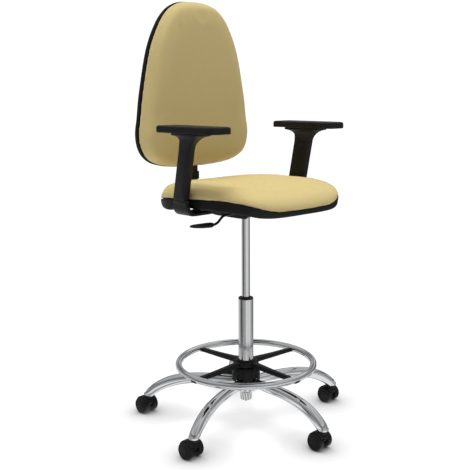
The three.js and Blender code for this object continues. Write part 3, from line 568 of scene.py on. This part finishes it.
hub_core = turn(rounded([(27.9, 191.6), (38, 191.6), (39.6, 193.2), (39.6, 207), (37.8, 209.5), (33.5, 209.5), (32.6, 208.2), (27.9, 208.2)], [0.3, 0.8, 0.8, 1.4, 0.8, 0.4, 0.3, 0.2]), 96)
lobe = turn(rounded([(0.01, 191.6), (9.6, 191.6), (10.6, 193), (10.6, 206), (9, 208.9), (0.01, 208.9)], [0, 0.6, 0.6, 1.6, 1.0, 0], closed=False), 40, loop=False)
SPOKE = [(24, 200.0, 12.5, 8.2), (44, 199.6, 12.0, 8.2), (70, 198.4, 10.8, 8.0), (120, 196.0, 9.6, 7.2), (175, 194.2, 8.6, 6.6), (205, 193.2, 8.6, 6.2), (217, 191.9, 8.4, 5.4), (227, 190.3, 8.0, 4.5)]
line = curve_through(SPOKE, 30)
spoke = sweep([(q[0], 0, q[1]) for q in line], (0, 1, 0),
              lambda i, t: rounded([(line[i][2], line[i][3]), (line[i][2] * 0.35, line[i][3] * 0.72), (-line[i][2] * 0.35, line[i][3] * 0.72), (-line[i][2], line[i][3]), (-line[i][2] * 0.86, -line[i][3]), (line[i][2] * 0.86, -line[i][3])],
                                   [1.6, 3, 3, 1.6, 2.6, 2.6], 5), {0: (1, 0, 0), 29: (1, 0, 0)})
cup = []                                        # saddle that holds the ring from below
for a in np.linspace(-2.6, 2.6, 14):
    h = 1 - smooth((abs(a) - 1.7) / 0.9) * 0.12
    ring = []
    for b in np.linspace(200, 340, 15):
        ring.append(((224.8 + 13.4 * h * math.cos(rad(b))) * math.cos(rad(a)), (224.8 + 13.4 * h * math.cos(rad(b))) * math.sin(rad(a)), 198.7 + 13.4 * h * math.sin(rad(b))))
    for b in np.linspace(340, 200, 15):
        ring.append(((224.8 + 11.2 * math.cos(rad(b))) * math.cos(rad(a)), (224.8 + 11.2 * math.cos(rad(b))) * math.sin(rad(a)), 198.7 + 11.2 * math.sin(rad(b))))
    cup.append(ring)
hub = Shape().add(hub_core)
for a in (45, 135, 225, 315):
    hub.add(lobe.moved(32 * math.cos(rad(a)), 32 * math.sin(rad(a))))
for a in (0, 90, 180, 270):
    hub.add(spoke.moved(turn=rad(a)))
    hub.add(loft(cup).moved(turn=rad(a)))


def off_bore(x, y, z):
    """Keeps the ends of the lobes and spokes on the bore, clear of the column."""
    f = max(1.0, 28.1 / max(math.hypot(x, y), 0.01))
    return x * f, y * f, z


hub = Shape([off_bore(*q) for q in hub.v], hub.f)
piece("ring_spider", hub, BLACK, "foot_ring", ["ring_hub"])


def star_knob(r_head, r_stem, stem0, head0, head1, lobes, n=120):
    def star(r, amp, z):
        return [((r + amp * math.cos(lobes * 2 * math.pi * i / n)) * math.cos(2 * math.pi * i / n),
                 (r + amp * math.cos(lobes * 2 * math.pi * i / n)) * math.sin(2 * math.pi * i / n), z) for i in range(n)]
    k = r_head
    return loft([star(r_stem - 0.7, 0, stem0), star(r_stem, 0, stem0 + 0.8), star(r_stem, 0, head0 - 0.6), star(r_stem + 1.2, 0.1, head0), star(k * 0.62, 0.2, head0 + 0.1),
                 star(k - 3.2, 0.9, head0 + 1.0), star(k - 1.9, 1.2, head0 + 2.6), star(k - 1.5, 1.4, head0 + 4.4), star(k - 1.4, 1.4, head1 - 4.0), star(k - 2.0, 1.4, head1 - 1.8),
                 star(k - 3.6, 1.2, head1 - 0.5), star(k - 5.6, 0.8, head1), star(k * 0.3, 0, head1 + 0.25)])


def laid(shape, how):
    return Shape([how(*p) for p in shape.v], shape.f)


q = math.sqrt(0.5)
piece("ring_star_knob", laid(star_knob(15, 4.8, 28.4, 55, 73, 5), lambda x, y, z: (z * q - y * q, z * q + y * q, 200.6 - x)), BLACK, "ring_knob", ["ring_knob"])
piece("back_star_knob", laid(star_knob(17, 4.0, 266.9, 286, 303, 6), lambda x, y, z: (x, z, 809 - y)), BLACK, "back_knob", ["back_knob"])

# -------------------------------------------------------------------- seat
SEAT_W, S0, S1 = 484.0, -265.0, 230.0
mid, half = (S0 + S1) / 2, (S1 - S0) / 2
seam_z = table([(-265, 744), (-247, 754), (-218, 767.5), (-160, 776), (-80, 775), (0, 770.5), (80, 766.5), (150, 759), (230, 746)])
shell_z = table([(-265, 727), (-240, 731), (-212, 739), (-160, 744.5), (-60, 743.8), (0, 743.6), (60, 743.4), (70, 741.5), (85, 735), (115, 727), (150, 726.5), (190, 729), (230, 733)])


def top_z(x, y):
    return (811 + 4 * (x / 200) ** 2 - 20 * clamp((-y - 110) / 155, 0, 1) ** 2 - 5 * clamp((y - 80) / 150, 0, 1)
            - 4 * math.exp(-(x * x + y * y) / 20000))


def even_plan(hx, hy, p, n):
    dense = superellipse(hx, hy, p, 4000)
    s = np.r_[0, np.cumsum(np.linalg.norm(np.diff(np.vstack([dense, dense[:1]]), axis=0), axis=1))]
    want = np.linspace(0, s[-1], n + 1)[:-1]
    d = np.vstack([dense, dense[:1]])
    return np.stack([np.interp(want, s, d[:, 0]), np.interp(want, s, d[:, 1])], 1)


def seat_plan(n):
    return even_plan(SEAT_W / 2, half, 3.6, n)


def seat_ring(plan, s, zf):
    return [(x * s, mid + y * s, zf(x * s, mid + y * s, mid + y)) for x, y in plan]


def shell_outer(s, Y):
    return lerp(shell_z(Y), 742, smooth((0.955 - s) / 0.455))


plan = seat_plan(200)
rows = [(s, lambda x, y, Y, s=s: shell_outer(s, Y)) for s in (0.5, 0.58, 0.66, 0.74, 0.82, 0.88, 0.92, 0.945)]
rows += [(0.962, lambda x, y, Y: shell_z(Y) + 0.6), (0.975, lambda x, y, Y: shell_z(Y) + 2.0), (0.985, lambda x, y, Y: lerp(shell_z(Y), seam_z(Y), 0.2)),
         (0.992, lambda x, y, Y: lerp(shell_z(Y), seam_z(Y), 0.42)), (0.996, lambda x, y, Y: lerp(shell_z(Y), seam_z(Y), 0.7)),
         (0.9985, lambda x, y, Y: seam_z(Y) - 1.4), (0.9972, lambda x, y, Y: seam_z(Y) - 0.4), (0.9935, lambda x, y, Y: seam_z(Y) - 0.15), (0.981, lambda x, y, Y: seam_z(Y) - 0.3),
         (0.976, lambda x, y, Y: lerp(shell_z(Y) + 4, seam_z(Y), 0.4)), (0.955, lambda x, y, Y: shell_z(Y) + 6)]
rows += [(s, lambda x, y, Y, s=s: shell_outer(s, Y) + 4) for s in (0.92, 0.8, 0.65, 0.5)]
seat_shell = piece("seat_pan", loft([seat_ring(plan, s, f) for s, f in rows]), SHELL, "seat", ["seat_shell"], sharp=55)


def seat_cushion_shape(n, shrink):
    p = seat_plan(n)
    g = 1 - 2 * shrink / 490

    def hgt(f):
        return lambda x, y, Y: lerp(seam_z(Y) + 0.3, top_z(x, y) - shrink, f)
    r = [(s, lambda x, y, Y: seam_z(y) + 14.0) for s in (0.2, 0.45, 0.70, 0.80)]
    r += [(0.81, lambda x, y, Y: seam_z(y) + 0.3), (0.88, lambda x, y, Y: seam_z(y) + 0.3), (0.95, lambda x, y, Y: seam_z(Y) + 0.3), (0.994, lambda x, y, Y: seam_z(Y) + 0.3)]
    for s, f in ((1.0, .06), (1.003, .15), (1.004, .25), (1.0025, .36), (.999, .48), (.9915, .58), (.982, .67), (.969, .755), (.952, .835), (.93, .89), (.90, .94), (.865, .974),
                 (.82, .992), (.76, 1), (.68, 1), (.59, 1), (.49, 1), (.38, 1), (.26, 1), (.13, 1)):
        r.append((s * lerp(1, g, smooth(f * 3)), hgt(f)))
    return loft([seat_ring(p, s, f) for s, f in r])


# -------------------------------------------------------------------- back
BACK_Y, BACK_Z, T, ROUND, DEEP, BC = 254.8, 1043.4, 56.0, 32.0, 30.0, -30.0
HALF = [(0, -201.5), (52, -201.2), (104, -198.2), (150, -191.5), (186, -180), (211, -161), (227, -135), (234.4, -104), (234.6, -76), (228, -38), (219.2, 26), (207.4, 86),
        (195, 143), (181, 192), (159.5, 242), (128, 292), (96, 321.5), (60, 337.4), (24, 341), (0, 341.2)]


def back_outline(n):
    pts = curve_through(HALF + [(-x, s) for x, s in HALF[1:-1][::-1]], n, closed=True)
    d = np.roll(pts, -1, 0) - np.roll(pts, 1, 0)
    d /= np.linalg.norm(d, axis=1)[:, None]
    return np.hstack([pts, np.stack([d[:, 1], -d[:, 0]], 1)])


def back_ring(out, inset, scale, d):
    px = (out[:, 0] - out[:, 2] * inset) * scale
    ps = BC + (out[:, 1] - out[:, 3] * inset - BC) * scale
    return [(x, BACK_Y - d, BACK_Z + s) for x, s in zip(px, ps)]


out = back_outline(220)
br = [(22, 0.12, -DEEP - 0.4), (22, 0.3, -DEEP - 0.4), (22, 0.5, -DEEP), (22, 0.7, -DEEP + 0.7), (21, 0.85, -DEEP + 1.3), (18, 0.97, -DEEP + 2.2), (14, 1, -DEEP + 3.6), (9.5, 1, -DEEP + 6),
      (5.8, 1, -DEEP + 8.8), (3.2, 1, -18), (1.6, 1, -14), (0.5, 1, -9), (0.2, 1, -4), (0.4, 1, -1.4), (1.3, 1, -0.4), (4.6, 1, -0.3), (5.6, 1, -13), (9, 1, -DEEP + 10.6), (18, 1, -DEEP + 6.6),
      (24, 0.7, -DEEP + 4.6), (24, 0.3, -DEEP + 4), (24, 0.12, -DEEP + 4)]
back_shell = piece("back_pan", loft([back_ring(out, *b) for b in br], loop=True), SHELL, "back", ["back_shell"], sharp=55)


def back_cushion_shape(n, shrink):
    o = back_outline(n)
    r = [(0, 0.2, 12.2), (0, 0.5, 12.2), (0, 0.79, 12.2), (0, 0.805, 0.25), (6, 0.95, 0.25), (2, 1, 0.25), (0.6, 1, 1.2), (0.3, 1, 4), (shrink * 0.5, 1, 8), (shrink - 0.8, 1, 13), (shrink - 0.8, 1, 18)]
    for phi in (0, 12, 24, 36, 48, 60, 72, 82, 90):
        r.append((shrink + ROUND * (1 - math.cos(rad(phi))), 1, T - shrink - ROUND + ROUND * math.sin(rad(phi))))
    r += [(ROUND + 2, s, T - shrink + 0.6 + 2.4 * (1 - s)) for s in (0.95, 0.88, 0.8, 0.7, 0.59, 0.47, 0.34, 0.2, 0.08)]
    return loft([back_ring(o, *q) for q in r])


# ------------------------------------------------ cushions blown up as cloth
def puff(o, pinned, voxel, pressure, cap, keep=None):
    """Fills the closed form o like a sewn cover: cloth under pressure, held where pinned(x, y, z) is true."""
    bpy.ops.object.select_all(action="DESELECT")
    o.select_set(True)
    bpy.context.view_layer.objects.active = o
    o.data.remesh_voxel_size = voxel
    o.data.use_remesh_fix_poles = False
    o.data.use_remesh_preserve_attributes = False
    bpy.ops.object.voxel_remesh()
    me = o.data
    n = len(me.vertices)
    rest = np.empty(n * 3, np.float32)
    me.vertices.foreach_get("co", rest)
    rest = rest.reshape(-1, 3).astype(float)
    group = o.vertex_groups.new(name="pin")
    for i, (x, y, z) in enumerate(rest):
        w = pinned(x * 1000, (y - SHIFT) * 1000, z * 1000)
        if w > 0:
            group.add([i], float(min(1, w)), "REPLACE")
    c = o.modifiers.new("cloth", "CLOTH")
    s = c.settings
    s.quality = 5
    s.mass = 0.25
    s.tension_stiffness = s.compression_stiffness = 18
    s.shear_stiffness = 8
    s.bending_stiffness = 1.2
    s.use_pressure = True
    s.uniform_pressure_force = pressure
    s.vertex_group_mass = "pin"
    s.effector_weights.gravity = 0
    c.collision_settings.use_collision = False
    c.point_cache.frame_start, c.point_cache.frame_end = 1, 20
    for f in range(1, 21):
        scene.frame_set(f)
    dg = bpy.context.evaluated_depsgraph_get()
    got = np.empty(n * 3, np.float32)
    o.evaluated_get(dg).data.vertices.foreach_get("co", got)
    got = got.reshape(-1, 3).astype(float)
    d = got - rest
    length = np.linalg.norm(d, axis=1)
    limit = cap * np.tanh(length / cap)
    d *= (limit / np.maximum(length, 1e-9))[:, None]
    new = rest + d
    if keep is not None:
        new = keep(new)
    o.modifiers.remove(c)
    o.vertex_groups.clear()
    scene.frame_set(1)
    me.vertices.foreach_set("co", new.astype(np.float32).ravel())
    me.update()
    me.shade_smooth()


def soften(o, rounds, factor=0.5):
    """Evens out the stair steps of the voxel grid."""
    bm = bmesh.new()
    bm.from_mesh(o.data)
    for _ in range(rounds):
        bmesh.ops.smooth_vert(bm, verts=bm.verts, factor=factor, use_axis_x=True, use_axis_y=True, use_axis_z=True)
    bm.to_mesh(o.data)
    bm.free()


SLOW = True
seat_cushion = piece("seat_pad", seat_cushion_shape(160, 3.5 if SLOW else 0), CLOTH, "seat", ["seat_cushion"], sharp=0)
back_cushion = piece("back_pad", back_cushion_shape(180, 2.5 if SLOW else 0), CLOTH, "back", ["back_cushion"], sharp=0)
if SLOW:
    puff(seat_cushion, lambda x, y, z: 1 - smooth((z - seam_z(y) - 3.0) / 24.0), 0.006, 3.0, 0.005)
    soften(seat_cushion, 6)
    puff(back_cushion, lambda x, y, z: 1 - smooth((BACK_Y - 3.0 - y) / 16.0), 0.006, 3.0, 0.005)
    soften(back_cushion, 6)
for o in (seat_cushion, back_cushion):
    m = o.modifiers.new("subdivision", "SUBSURF")
    m.levels = m.render_levels = 1

# -------------------------------------------------------------------- arms
ARM_X, PAD_X, PAD_Y, ARM_TURN = 259.3, 254.2, -43.7, 0.118


def arm_y(z):
    return 13.8 - (z - 771) * 0.2


def bracket_shape():
    pts = [(-112, 727, 34, 5, 11), (-160, 727, 34, 5, 11), (-205, 727, 34, 5, 11), (-234, 727, 34, 5, 11), (-247.7, 729.5, 34, 5.6, 11), (-254.7, 736.5, 34, 6.2, 11),
           (-259.3, 747, 34, 7.4, 11), (-259.3, 757, 33.6, 7.4, 11.2), (-259.3, 766, 33, 7.4, 11.6), (-259.3, 771.6, 31, 6.6, 13.7)]
    P = curve_through(pts, 44)
    s = sweep([(p[0], p[4], p[1]) for p in P], (0, 1, 0), lambda i, t: rounded([(P[i][2], P[i][3]), (-P[i][2], P[i][3]), (-P[i][2], -P[i][3]), (P[i][2], -P[i][3])], 2.6, 5), {0: (-1, 0, 0), 43: (0, 0, 1)})
    s.add(loft([at(rrect(4, 22, 2, 4), z, -ARM_X, arm_y(z)) for z in (771.0, 820, 888)] + [at(rrect(3, 20, 1.4, 4), 890, -ARM_X, arm_y(890))]))
    s = laid(s, lambda x, y, z: (x + ARM_TURN * (y - arm_y(max(z, 771))) * smooth((z - 742) / 20), y, z))
    return s.add(loft([at(rrect(45, 19, 4, 6), z, -161, 5) for z in (731, 740.6)]))


def sleeve_shape():
    dx = PAD_X - ARM_X

    def ring(z, wy, wx, r, y=None, x=-ARM_X, k=ARM_TURN, rib=0.0):
        y = arm_y(z) if y is None else y
        out = []
        for u, v in rrect(wx, wy, r, 8):
            out.append((u + x + k * v, v + y, z))
        return out

    def fy(z):
        return lerp(arm_y(z), -28, smooth((z - 935) / 30))
    r = [ring(935, 10, 2, 1), ring(935, 22.5, 4.4, 1.5), ring(776, 22.5, 4.4, 1.5), ring(772.9, 23, 4.9, 1.5), ring(772.6, 24, 5.6, 1.8), ring(772.6, 29, 9.6, 3.6), ring(773.3, 30.2, 10.6, 4.4),
         ring(775, 31, 11.3, 5), ring(780, 31, 11.3, 5), ring(815, 31, 11.3, 5), ring(850, 31, 11.3, 5), ring(890, 31, 11.3, 5), ring(926, 31, 11.3, 5)]
    hs = [(934, 31.6, 11.6, 5), (940, 32.6, 12, 5), (946, 34.7, 12.8, 5.4), (951, 37.6, 13.7, 6), (955, 41.4, 15, 6.5), (958.5, 46, 16.8, 7), (961.3, 51, 19.8, 7.5), (963.4, 56, 23.2, 8),
          (964.7, 60, 26.6, 8.6), (965.4, 62.4, 29.6, 9.2)]
    for k, (z, wy, wx, rr) in enumerate(hs):
        t = smooth((k + 1) / 10)
        r.append(ring(z, wy, wx, rr, lerp(fy(z), -30, t * t), -ARM_X - dx * t, lerp(ARM_TURN, 0.085, t)))
    for z, a, b, c in ((965.6, 64.4, 31.4, 9.8), (966.2, 65.6, 32.1, 10.4), (968, 66, 32.4, 10.6), (971, 66, 32.4, 10.6), (972.4, 65, 31.6, 10.2)):
        r.append(ring(z, a, b, c, -30, -PAD_X, 0.085))
    s = loft(r)
    # raised panel on the broad faces, as moulded
    for side in (-1, 1):
        rows = []
        for lift, shrink in ((-0.4, 0), (0.45, 0.4), (0.6, 1.2)):
            rows.append([(-ARM_X + side * (11.3 + lift) + ARM_TURN * v, arm_y(z) + v, z) for v, z in [(a, 786 + 70 + b) for a, b in rrect(20 - shrink, 68 - shrink, 6, 6)]])
        s.add(loft(rows if side > 0 else [list(reversed(q)) for q in rows]))
    return s


def pad_shape():
    radii = [12, 12, 28, 28]

    def pr(z, i):
        return at(rrect(44 - i, 128.5 - i, [max(2, q - i) for q in radii], 14), z, -PAD_X, PAD_Y)
    rows = [(972.8, 8), (972.8, 3.0), (973.1, 1.6), (973.8, 0.6), (975.2, 0.1), (977.6, 0), (983, 0), (987.4, 0.1), (989.8, 0.6), (991.4, 1.7), (992.6, 3.5), (993.4, 6.0), (993.75, 9.0), (993.8, 14)]
    rows += [(993.8 + 0.4 * k / 4, 14 + 26 * k / 4) for k in (1, 2, 3)]
    return loft([pr(z, min(i, 42)) for z, i in rows])


def button_shape():
    n = math.hypot(1, 0.2)
    u = (0, -0.2 / n, 1 / n)
    o = (0, u[2], -u[1])
    face = (-ARM_X + ARM_TURN * 31, arm_y(905) + 31, 905)
    prof = rounded([(0.01, -4.6), (6.0, -4.6), (6.0, 2.7), (0.01, 3.1)], [0, 0.5, 1.4, 0], 5, closed=False)
    s = turn(prof, 40, loop=False, axis="y")
    return laid(s, lambda x, y, z: (face[0] + x, face[1] + o[1] * y + u[1] * z, face[2] + o[2] * y + u[2] * z))


bracket, sleeve, pad, button = bracket_shape(), sleeve_shape(), pad_shape(), button_shape()
for side in "rl":
    def f(s):
        return s if side == "r" else s.mirrored()
    piece(f"bracket_{side}", f(bracket), STEEL, "seat", [f"arm_bracket_{side}"])
    piece(f"sleeve_{side}", f(sleeve), BLACK, f"arm_{side}", [f"arm_sleeve_{side}"], sharp=45)
    piece(f"pad_{side}", f(pad), BLACK, f"arm_{side}", [f"arm_pad_{side}"])
    piece(f"button_{side}", f(button), NYLON, f"arm_button_{side}", [f"arm_button_{side}"])

# ------------------------------------------------------------ lever, upright
wire_line = curve_through([(7, 0, 727), (-30, 0, 727), (-60, -1, 727), (-78, -22, 727), (-96, -58, 727), (-126, -82, 727), (-158, -90, 727), (-177, -90, 726.2), (-187.5, -90, 722), (-195.5, -90, 715.4),
                           (-203.2, -90, 709), (-212.6, -90, 704.6), (-225.4, -90, 703.3), (-246, -90, 703.3)], 120)


def tube_along(line, r, n):
    rings, prev = [], Vector((0, 0, 1))
    P = [Vector(p) for p in line]
    for i, p in enumerate(P):
        t = (P[min(i + 1, len(P) - 1)] - P[max(i - 1, 0)]).normalized()
        a = (prev - t * prev.dot(t)).normalized()
        b = t.cross(a)
        prev = a
        k = r * (0.9 if i in (0, len(P) - 1) else 1)
        rings.append([tuple(p + a * k * math.cos(2 * math.pi * j / n) + b * k * math.sin(2 * math.pi * j / n)) for j in range(n)])
    return loft(rings)


piece("lever_wire", tube_along(wire_line, 4, 20), STEEL, "lever", ["height_lever"])
PAD = curve_through([(-225.2, 703.3, 5.0, 5.0), (-226.4, 703.35, 6.8, 6.4), (-230, 703.45, 9.2, 7.4), (-238, 703.8, 12, 7.7), (-256, 704.6, 15, 7.2), (-276, 705.6, 17, 6.2), (-294, 706.6, 15.5, 5), (-304, 707.2, 11.5, 3.8), (-308.4, 707.35, 7.5, 2.8), (-309.7, 707.4, 4.2, 1.8)], 50)
paddle = sweep([(p[0], -90, p[1]) for p in PAD], (0, 1, 0), lambda i, t: superellipse(PAD[i][2], PAD[i][3], 2.3, 36), {0: (-1, 0, 0), 49: (-1, 0, 0)})
piece("lever_grip", paddle, BLACK, "lever", ["lever_paddle"], sharp=50)

piece("upright_bar", loft([[(a, 262 + b, z) for a, b in rrect(22 - c, 4 - c * 0.6, 1.5, 6)] for z, c in ((738, 1.2), (738.8, 0.2), (739.6, 0), (1010, 0), (1011.2, 0.3), (1012, 1.3))]),
      STEEL, "back", ["back_upright"])
SUP = curve_through([(118, 713, 28, 4.5), (160, 708.5, 28, 4), (222, 703.4, 27, 4), (246, 704.4, 26, 4), (261, 711, 25, 4), (269.5, 724, 24, 4), (272, 742, 24, 4), (272, 795.4, 24, 4)], 70)
sup = sweep([(0, p[0], p[1]) for p in SUP], (1, 0, 0), lambda i, t: rrect(SUP[i][2], SUP[i][3], 1.6, 6))
sup.add(turn(rounded([(5.25, -30.4), (10, -30.4), (10, 30.4), (5.25, 30.4)], 0.5), 48, axis="x", centre=(0, 110, 714)))
piece("back_j_bar", sup, STEEL, "back_frame", ["back_support"])

# ------------------------------------------------------------ studio, light
floor_mesh = bpy.data.meshes.new("floor")
R = 30.0
floor_mesh.from_pydata([(-R, -R, 0), (R, -R, 0), (R, R, 0), (-R, R, 0)], [], [(0, 1, 2, 3)])
floor = bpy.data.objects.new("floor", floor_mesh)
scene.collection.objects.link(floor)
k = Nodes("floor_paper")
grain = k.noise(180, 3)
k.set("Base Color", k.mix(k.ramp(grain, 0.3, 0.7, 0, 1), (0.78, 0.78, 0.78, 1), (0.81, 0.81, 0.81, 1)))
thin = k.t.nodes.new("ShaderNodeBsdfDiffuse")
thin.inputs["Color"].default_value = (0.055, 0.055, 0.055, 1)
k.set("Roughness", 0.95)
k.set("Specular IOR Level", 0.0)
# The paper glows a little where it is seen, with painted contact shadows: ambient occlusion dims the glow near the
# stool. Polished tubes see it as a field of greys round the stool, a painted reflection.
path = k.node("LightPath")
# painted contact shadows: ambient occlusion within 0.13 m darkens the floor's glow round the castors and hub
near = k.t.nodes.new("ShaderNodeAmbientOcclusion")
near.inputs["Distance"].default_value = 0.13
near.samples = 24
glow_with_painted_contact_shadow = k.node("Emission", Color=(1, 1, 1, 1), Strength=k.math("MULTIPLY", k.math("POWER", near.outputs["AO"], 1.6), 0.985))
plain = k.t.nodes.new("ShaderNodeAddShader")
k.t.links.new(thin.outputs[0], plain.inputs[0])
k.t.links.new(glow_with_painted_contact_shadow.outputs[0], plain.inputs[1])
seen = k.t.nodes.new("ShaderNodeMixShader")
k.t.links.new(path.outputs["Is Camera Ray"], seen.inputs[0])
k.t.links.new(k.b.outputs[0], seen.inputs[1])
k.t.links.new(plain.outputs[0], seen.inputs[2])
# painted reflection: glossy rays see the floor as a glowing fan and bands of greys instead of its own lit colour
sp = k.node("SeparateXYZ", Vector=k.co.outputs["Object"])
ang = k.math("ARCTAN2", sp.outputs[1], sp.outputs[0])
wave = k.math("ADD", k.math("MULTIPLY", k.math("SINE", k.math("ADD", ang, 0.15)), -0.5), 0.5)
fan = k.node("ValToRGB", Fac=wave)
ce = fan.color_ramp.elements
ce[0].position, ce[0].color = 0.0, (0.75, 0.75, 0.75, 1)
ce[1].position, ce[1].color = 1.0, (0.72, 0.72, 0.72, 1)
for pos_, v in ((0.30, 0.10), (0.42, 0.06), (0.55, 0.25), (0.72, 0.42), (0.86, 0.30), (0.93, 0.85)):
    q = ce.new(pos_)
    q.color = (v, v, v, 1)
reach = k.math("SQRT", k.math("ADD", k.math("MULTIPLY", sp.outputs[0], sp.outputs[0]), k.math("MULTIPLY", sp.outputs[1], sp.outputs[1])))
bands = k.math("SINE", k.math("ADD", k.math("MULTIPLY", ang, 7.0), k.math("MULTIPLY", reach, 16.0)))
painted_reflection_bands = k.mix(k.ramp(bands, -0.8, 0.8, 0, 1), (0.30, 0.30, 0.30, 1), (0.86, 0.86, 0.86, 1))
close = k.mix(k.ramp(reach, 0.55, 1.15, 0, 1), painted_reflection_bands, fan.outputs[0])
painted_floor_reflection = k.node("Emission", Color=close, Strength=1.0)
final = k.t.nodes.new("ShaderNodeMixShader")
k.t.links.new(path.outputs["Is Glossy Ray"], final.inputs[0])
k.t.links.new(seen.outputs[0], final.inputs[1])
k.t.links.new(painted_floor_reflection.outputs[0], final.inputs[2])
k.t.links.new(final.outputs[0], k.out.inputs[0])
floor_mesh.materials.append(k.m)

world = bpy.data.worlds.new("studio")
scene.world = world
world.use_nodes = True
t = world.node_tree
t.nodes.clear()
tc = t.nodes.new("ShaderNodeTexCoord")
sep = t.nodes.new("ShaderNodeSeparateXYZ")
t.links.new(tc.outputs["Generated"], sep.inputs[0])
ramp = t.nodes.new("ShaderNodeValToRGB")
t.links.new(sep.outputs["Z"], ramp.inputs[0])
e = ramp.color_ramp.elements
e[0].position, e[0].color = 0.0, (0.16, 0.16, 0.17, 1)
e[1].position, e[1].color = 1.0, (1.0, 1.0, 1.0, 1)
for p, v in ((0.045, 0.06), (0.10, 0.28), (0.17, 0.78), (0.27, 0.62), (0.36, 0.26), (0.46, 0.34), (0.58, 0.95), (0.80, 0.72)):
    q = ramp.color_ramp.elements.new(p)
    q.color = (v, v, v * 1.01, 1)
# walls of the tent are not evenly lit: less on the -X side, and three broad panels round it


def wm(op, a, b):
    n = t.nodes.new("ShaderNodeMath")
    n.operation = op
    for sock, v in ((n.inputs[0], a), (n.inputs[1], b)):
        if isinstance(v, bpy.types.NodeSocket):
            t.links.new(v, sock)
        else:
            sock.default_value = v
    return n.outputs[0]


around = wm("ARCTAN2", sep.outputs["Y"], sep.outputs["X"])
panels = wm("ADD", 0.90, wm("ADD", wm("MULTIPLY", wm("COSINE", around, 0), 0.16), wm("MULTIPLY", wm("SINE", wm("MULTIPLY", around, 3.0), 0), 0.16)))
tent = t.nodes.new("ShaderNodeMix")
tent.data_type = "RGBA"
tent.blend_type = "MULTIPLY"
tent.inputs[0].default_value = 1.0
t.links.new(ramp.outputs[0], tent.inputs[6])
grey = t.nodes.new("ShaderNodeCombineColor")
for i in range(3):
    t.links.new(panels, grey.inputs[i])
t.links.new(grey.outputs[0], tent.inputs[7])
lit = t.nodes.new("ShaderNodeBackground")
t.links.new(tent.outputs[2], lit.inputs[0])
lit.inputs[1].default_value = 0.62
seen = t.nodes.new("ShaderNodeBackground")
seen.inputs[0].default_value = (1, 1, 1, 1)
seen.inputs[1].default_value = 1.05
path = t.nodes.new("ShaderNodeLightPath")
both = t.nodes.new("ShaderNodeMixShader")
t.links.new(path.outputs["Is Camera Ray"], both.inputs[0])
t.links.new(lit.outputs[0], both.inputs[1])
t.links.new(seen.outputs[0], both.inputs[2])
wo = t.nodes.new("ShaderNodeOutputWorld")
t.links.new(both.outputs[0], wo.inputs[0])


def lamp(name, kind, where, aim, **kw):
    d = bpy.data.lights.new(name, kind)
    for a, b in kw.items():
        setattr(d, a, b)
    o = bpy.data.objects.new(name, d)
    scene.collection.objects.link(o)
    o.location = where
    o.rotation_euler = (Vector(aim) - Vector(where)).to_track_quat("-Z", "Y").to_euler()
    return o


sun = lamp("sun", "SUN", (-0.05, 0.12, 4.0), (0, 0, 0), energy=3.6, angle=rad(36))
sun.visible_glossy = False
